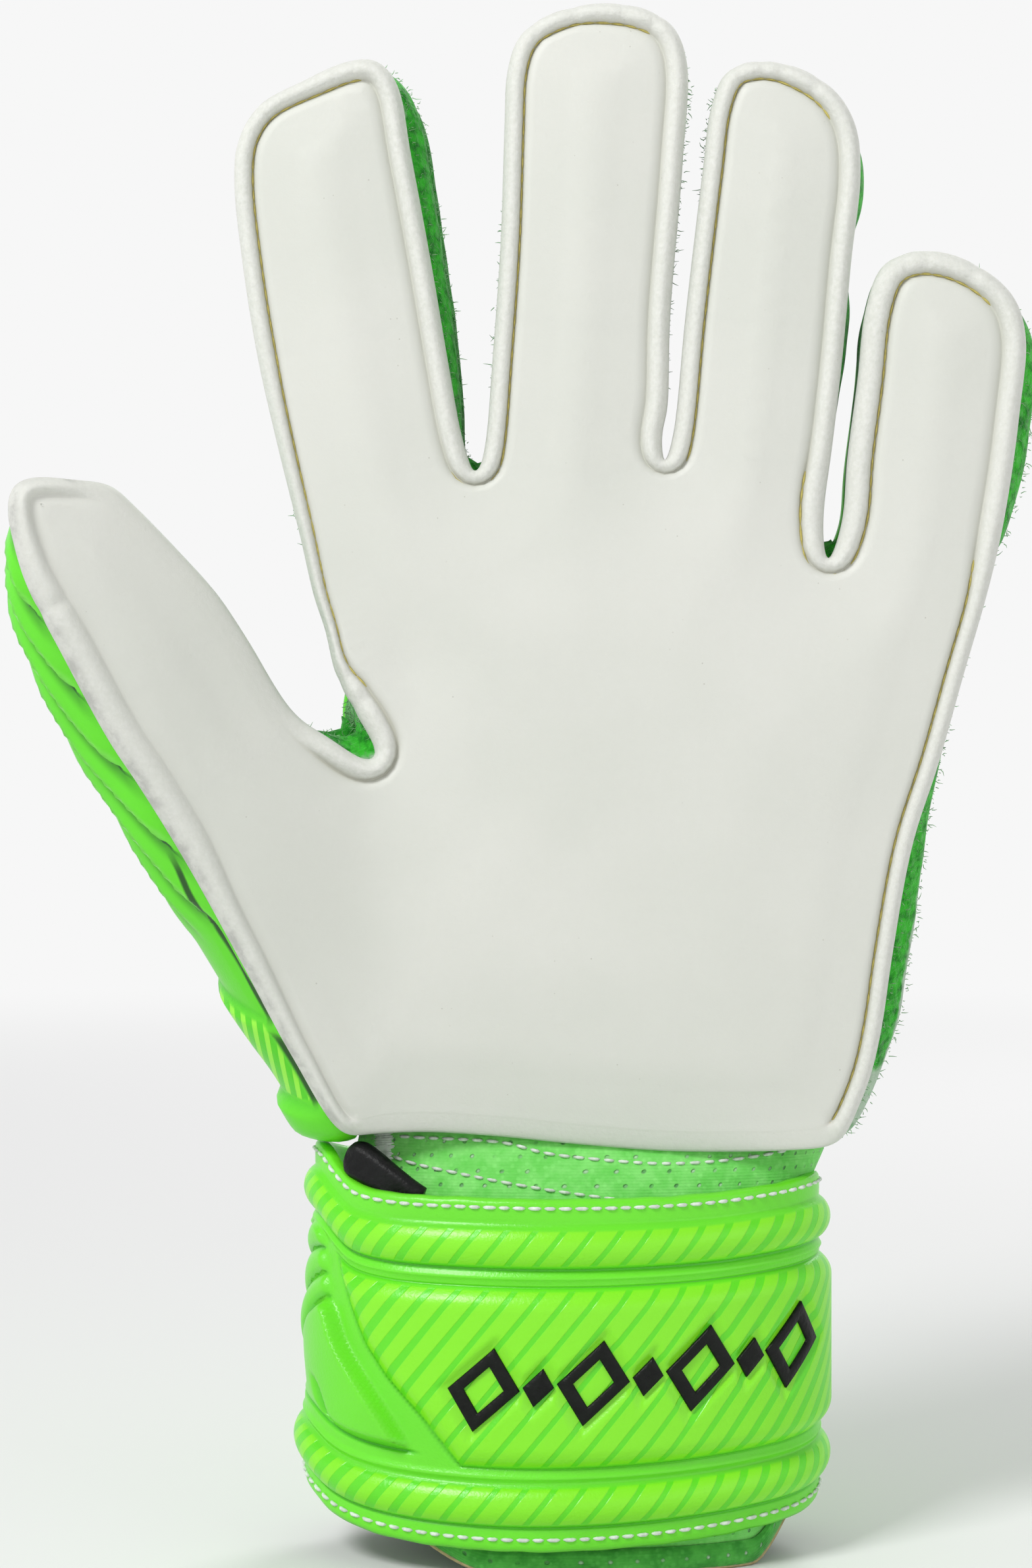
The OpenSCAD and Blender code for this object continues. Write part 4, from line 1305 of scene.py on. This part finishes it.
def slab(name, rows, n, front, back, mat, k, values, smoothed=True):
    """A sheet with thickness, from its front's and back's points; face number k faces away from the wrist."""
    v = np.vstack([front, back])
    faces = slab_faces(rows, n)
    faces = outward(v, faces, k, v[faces[k][0]] * (1, 1, 0))
    return make_mesh(name, v, faces, mat, vertex_normals(v, faces) if smoothed else None, values)


def strap_piece(name, s0, s1, lift):
    """A length of the strap with a moulded face, a plain back and closed edges."""
    across = np.unique(np.concatenate([np.linspace(0, 1, 112)] + [np.linspace(*c) for c in CLOSER]))
    n = int((s1 - s0) / 0.6) + 1
    s, v = (a.ravel() for a in np.meshgrid(np.linspace(s0, s1, n), across))
    low, high = strap_edges(s)
    height, field, phase, duty, groove = strap_design(s, v)
    z = low + v * (high - low)
    from_edge = np.minimum(v, 1 - v)
    up = lift(s) - draw_in(s, z)
    rounding = 0.55 * (1 - np.clip(from_edge * STRAP_TALL / 1.2, 0, 1)) ** 2
    z = z + 0.12 * wobble(np.stack([s, v * 9], 1), 1.7, 3.0) * (from_edge < 0.02)
    plain = np.zeros(len(s))
    values = {"phase": np.tile(phase, 2), "duty": np.tile(duty, 2), "field": np.concatenate([field, plain - 5]),
              "groove": np.concatenate([groove, plain])}
    return slab(name, len(across), n, on_strap(s, z, height + 0.35 + up - rounding),
                on_strap(s, z, -1.9 + up + rounding), strap_cover, len(across) // 2 * (n - 1) + n // 2, values)


S_LEFT, S_HINGE, S_END = s_at_angle(152), s_at_angle(376), s_at_angle(490)


def no_lift(s):
    return 0 * s


def tail_lift(s):
    return 1.9 * smooth(S_HINGE, S_HINGE + 22, s)


wrap = strap_piece("strap_wrap_face", S_LEFT, S_HINGE, no_lift)
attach(wrap, "cuff")
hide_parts("strap_wrap")
tail = strap_piece("strap_tail_face", S_HINGE, S_END, tail_lift)
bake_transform(tail)
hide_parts("strap_tail")


def strap_stitches(s0, s1, lift, seed):
    """A row of stitches along each flange."""
    paths = []
    for v_at in (0.036, 0.976):
        s = np.arange(s0 + 1.0, s1 - 1.0, 0.5)
        low, high = strap_edges(s)
        z = low + v_at * (high - low)
        p = on_strap(s, z, 0.66 + lift(s) - draw_in(s, z))
        o = on_strap(s, z, 1.66 + lift(s) - draw_in(s, z)) - p
        paths += stitch_paths(np.hstack([p, o]), 2.1, 0.62, 0.22, np.random.default_rng(seed))
    return tube_bits(paths, 0.36)


obj = make_mesh("strap_wrap_stitching", *strap_stitches(S_LEFT, S_HINGE, no_lift, 5), thread_white)
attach(obj, "cuff")
obj = make_mesh("strap_tail_stitching", *strap_stitches(S_HINGE, S_END, tail_lift, 6), thread_white)
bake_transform(obj)


def patch(name, s0, s1, z0, z1, under, over, mat):
    """A flat tape on the strap's ellipse, from under to over its middle surface."""
    n, rows = int((s1 - s0) / 1.5), 14
    s, z = (a.ravel() for a in np.meshgrid(np.linspace(s0, s1, n), np.linspace(z0, z1, rows)))
    values = {"edge": np.zeros(2 * len(s)), "across": np.full(2 * len(s), 0.3)}
    return slab(name, rows, n, on_strap(s, z, over), on_strap(s, z, under), mat, 0, values, smoothed=False)


obj = patch("strap_hook_tape", s_at_angle(415), s_at_angle(485), 16, 56, -1.25, -0.45, hook_tape)
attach(obj, "strap_tail")
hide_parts("strap_hook_pad")
obj = patch("strap_loop_tape", s_at_angle(400), s_at_angle(495), 13, 39, -2.6, -1.75, felt)
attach(obj, "cuff")
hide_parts("strap_loop_patch")


def lozenges():
    """A generic raised motif: a row of open and solid lozenges."""
    v, faces = [], []
    for cs, cv, w, h, hole in MOTIF:
        corners = np.array([(w, 0), (0, h), (-w, 0), (0, -h), (w, 0)], float)
        ring = np.vstack([a + (b - a) * np.linspace(0, 1, 9, endpoint=False)[:, None]
                          for a, b in zip(corners, corners[1:])])
        levels = [(1.0, 1.5), (1.0, 2.65), (0.95, 2.9)]
        levels += [(hole * 1.09, 2.9), (hole, 2.65), (hole, 1.5)] if hole else [(0.5, 2.95), (0.02, 2.95)]
        faces += shifted(ring_faces(len(levels), len(ring)), sum(len(part) for part in v))
        for grow, height in levels:
            x, y = (ring * grow).T
            s = cs + x + 0.25 * y
            low, high = strap_edges(s)
            v.append(on_strap(s, low + cv * (high - low) + y, height))
    v = np.vstack(v)
    return v, outward(v, faces, 0, v[faces[0][0]] - v[:36].mean(0))


obj = make_mesh("strap_motif", *lozenges(), black_print)
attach(obj, "cuff")


def pull_tab():
    """A short folded tab of webbing: a fat rounded loop end that narrows to where it is sewn in."""
    path = spline([(-25.8, -18.0, 66.6), (-29.0, -17.3, 68.2), (-32.6, -15.6, 70.4), (-36.4, -13.4, 72.8),
                   (-39.6, -11.6, 74.2)], 0.7, closed=False)
    n, sides = len(path), 20
    t = np.linspace(0, 1, n)
    shares = (0, 0.25, 0.6, 0.85, 0.94, 1)
    wide = np.interp(t, shares, (2.4, 2.9, 3.3, 3.5, 2.9, 0.4))
    thick = np.interp(t, shares, (1.6, 2.1, 2.6, 2.8, 2.3, 0.3))
    angle = 2 * np.pi * np.arange(sides) / sides
    c, q = (np.sign(f) * np.abs(f) ** 0.8 for f in (np.cos(angle), np.sin(angle)))
    fold = 0.28 * np.exp(-((angle - 1.5 * math.pi) / 0.35) ** 2)
    v = []
    for k in range(n):
        d = path[min(k + 1, n - 1)] - path[max(k - 1, 0)]
        d /= np.linalg.norm(d)
        out = np.array((-0.454, -0.891, 0.0))
        out -= d * (out @ d)
        out /= np.linalg.norm(out)
        dent = 1 - fold * (0.2 < t[k] < 0.93)
        v.append(path[k] + np.outer(c, np.cross(d, out)) * wide[k] - np.outer(q * dent, out) * thick[k])
    v = np.vstack(v)
    cap = tuple(range(sides))
    faces = ring_faces(n, sides) + [cap[::-1]] + shifted([cap], (n - 1) * sides)
    k = len(faces) // 2
    return v, outward(v, faces, k, v[faces[k][0]] - path[faces[k][0] // sides])


obj = make_mesh("pull_tab", *pull_tab(), black_web)
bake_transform(obj)
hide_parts("pull_loop")

# ---------------------------------------------------------------- studio

WHITE = 0.93


def backdrop():
    """A pale floor that brightens into the white of the backdrop away from the object."""
    m = material("studio_white")
    n = Nodes(m)
    coords = n.t.nodes.new("ShaderNodeTexCoord")
    far = n.t.nodes.new("ShaderNodeVectorMath")
    far.operation = "LENGTH"
    n.t.links.new(coords.outputs["Object"], far.inputs[0])
    fade = n.step(far.outputs["Value"], 0.25, 1.6)
    n.set(Base_Color=n.mix(fade, rgb(228, 228, 228), rgb(0, 0, 0)), Roughness=0.9, Specular_IOR_Level=0.0)
    n.bsdf.inputs["Emission Color"].default_value = (1, 1, 1, 1)
    n.t.links.new(n.math("MULTIPLY", fade, WHITE), n.bsdf.inputs["Emission Strength"])
    mesh = bpy.data.meshes.new("studio_floor")
    r = 6.0
    ring = [(r * math.cos(t), r * math.sin(t), 0) for t in np.linspace(0, 2 * math.pi, 65)[:-1]]
    mesh.from_pydata(ring, [], [tuple(range(64))])
    mesh.materials.append(m)
    floor = bpy.data.objects.new("studio_floor", mesh)
    bpy.context.scene.collection.objects.link(floor)


def studio_world():
    """White at the horizon, where the floor runs into it, and dimmer overhead."""
    world = bpy.data.worlds.new("studio")
    bpy.context.scene.world = world
    world.use_nodes = True
    t = world.node_tree
    coords, axes = t.nodes.new("ShaderNodeTexCoord"), t.nodes.new("ShaderNodeSeparateXYZ")
    ramp = t.nodes.new("ShaderNodeMapRange")
    ramp.inputs["From Min"].default_value, ramp.inputs["From Max"].default_value = 0.28, 0.62
    ramp.inputs["To Min"].default_value, ramp.inputs["To Max"].default_value = WHITE, 0.38
    t.links.new(coords.outputs["Generated"], axes.inputs[0])
    t.links.new(axes.outputs["Z"], ramp.inputs["Value"])
    t.nodes["Background"].inputs["Color"].default_value = (1, 1, 1, 1)
    t.links.new(ramp.outputs["Result"], t.nodes["Background"].inputs["Strength"])


backdrop()
studio_world()
bpy.context.scene.view_settings.view_transform = "Standard"


def area_light(name, where, at, size, watts, tint=(1, 1, 1)):
    data = bpy.data.lights.new(name, "AREA")
    data.size, data.energy, data.color = size, watts, tint
    obj = bpy.data.objects.new(name, data)
    obj.location = where
    obj.rotation_euler = (Vector(at) - Vector(where)).to_track_quat("-Z", "Y").to_euler()
    bpy.context.scene.collection.objects.link(obj)


area_light("key", (-0.70, -0.85, 1.15), (0, 0, 0.15), 0.45, 14)
area_light("fill", (0.95, -0.8, 0.55), (0, 0, 0.12), 0.8, 1.0)
area_light("back", (0.5, 1.05, 1.0), (0, 0, 0.15), 0.6, 8)

# The camera looks straight at the palm, level with the middle of the glove, and what it sees
# in the plane of the palm is SEEN_TALL high.
PALM_PLANE, CAMERA_AWAY, SEEN_TALL, CAMERA_X, CAMERA_Z = -0.014, 0.56, 0.2856, -0.00858, 0.1418
camera = bpy.data.cameras.new("camera")
camera.sensor_width = 36
camera.lens = camera.sensor_width * CAMERA_AWAY / SEEN_TALL
cam = bpy.data.objects.new("camera", camera)
cam.location = (CAMERA_X, PALM_PLANE - CAMERA_AWAY, CAMERA_Z)
cam.rotation_euler = (math.radians(90), 0, 0)
bpy.context.scene.collection.objects.link(cam)
bpy.context.scene.camera = cam
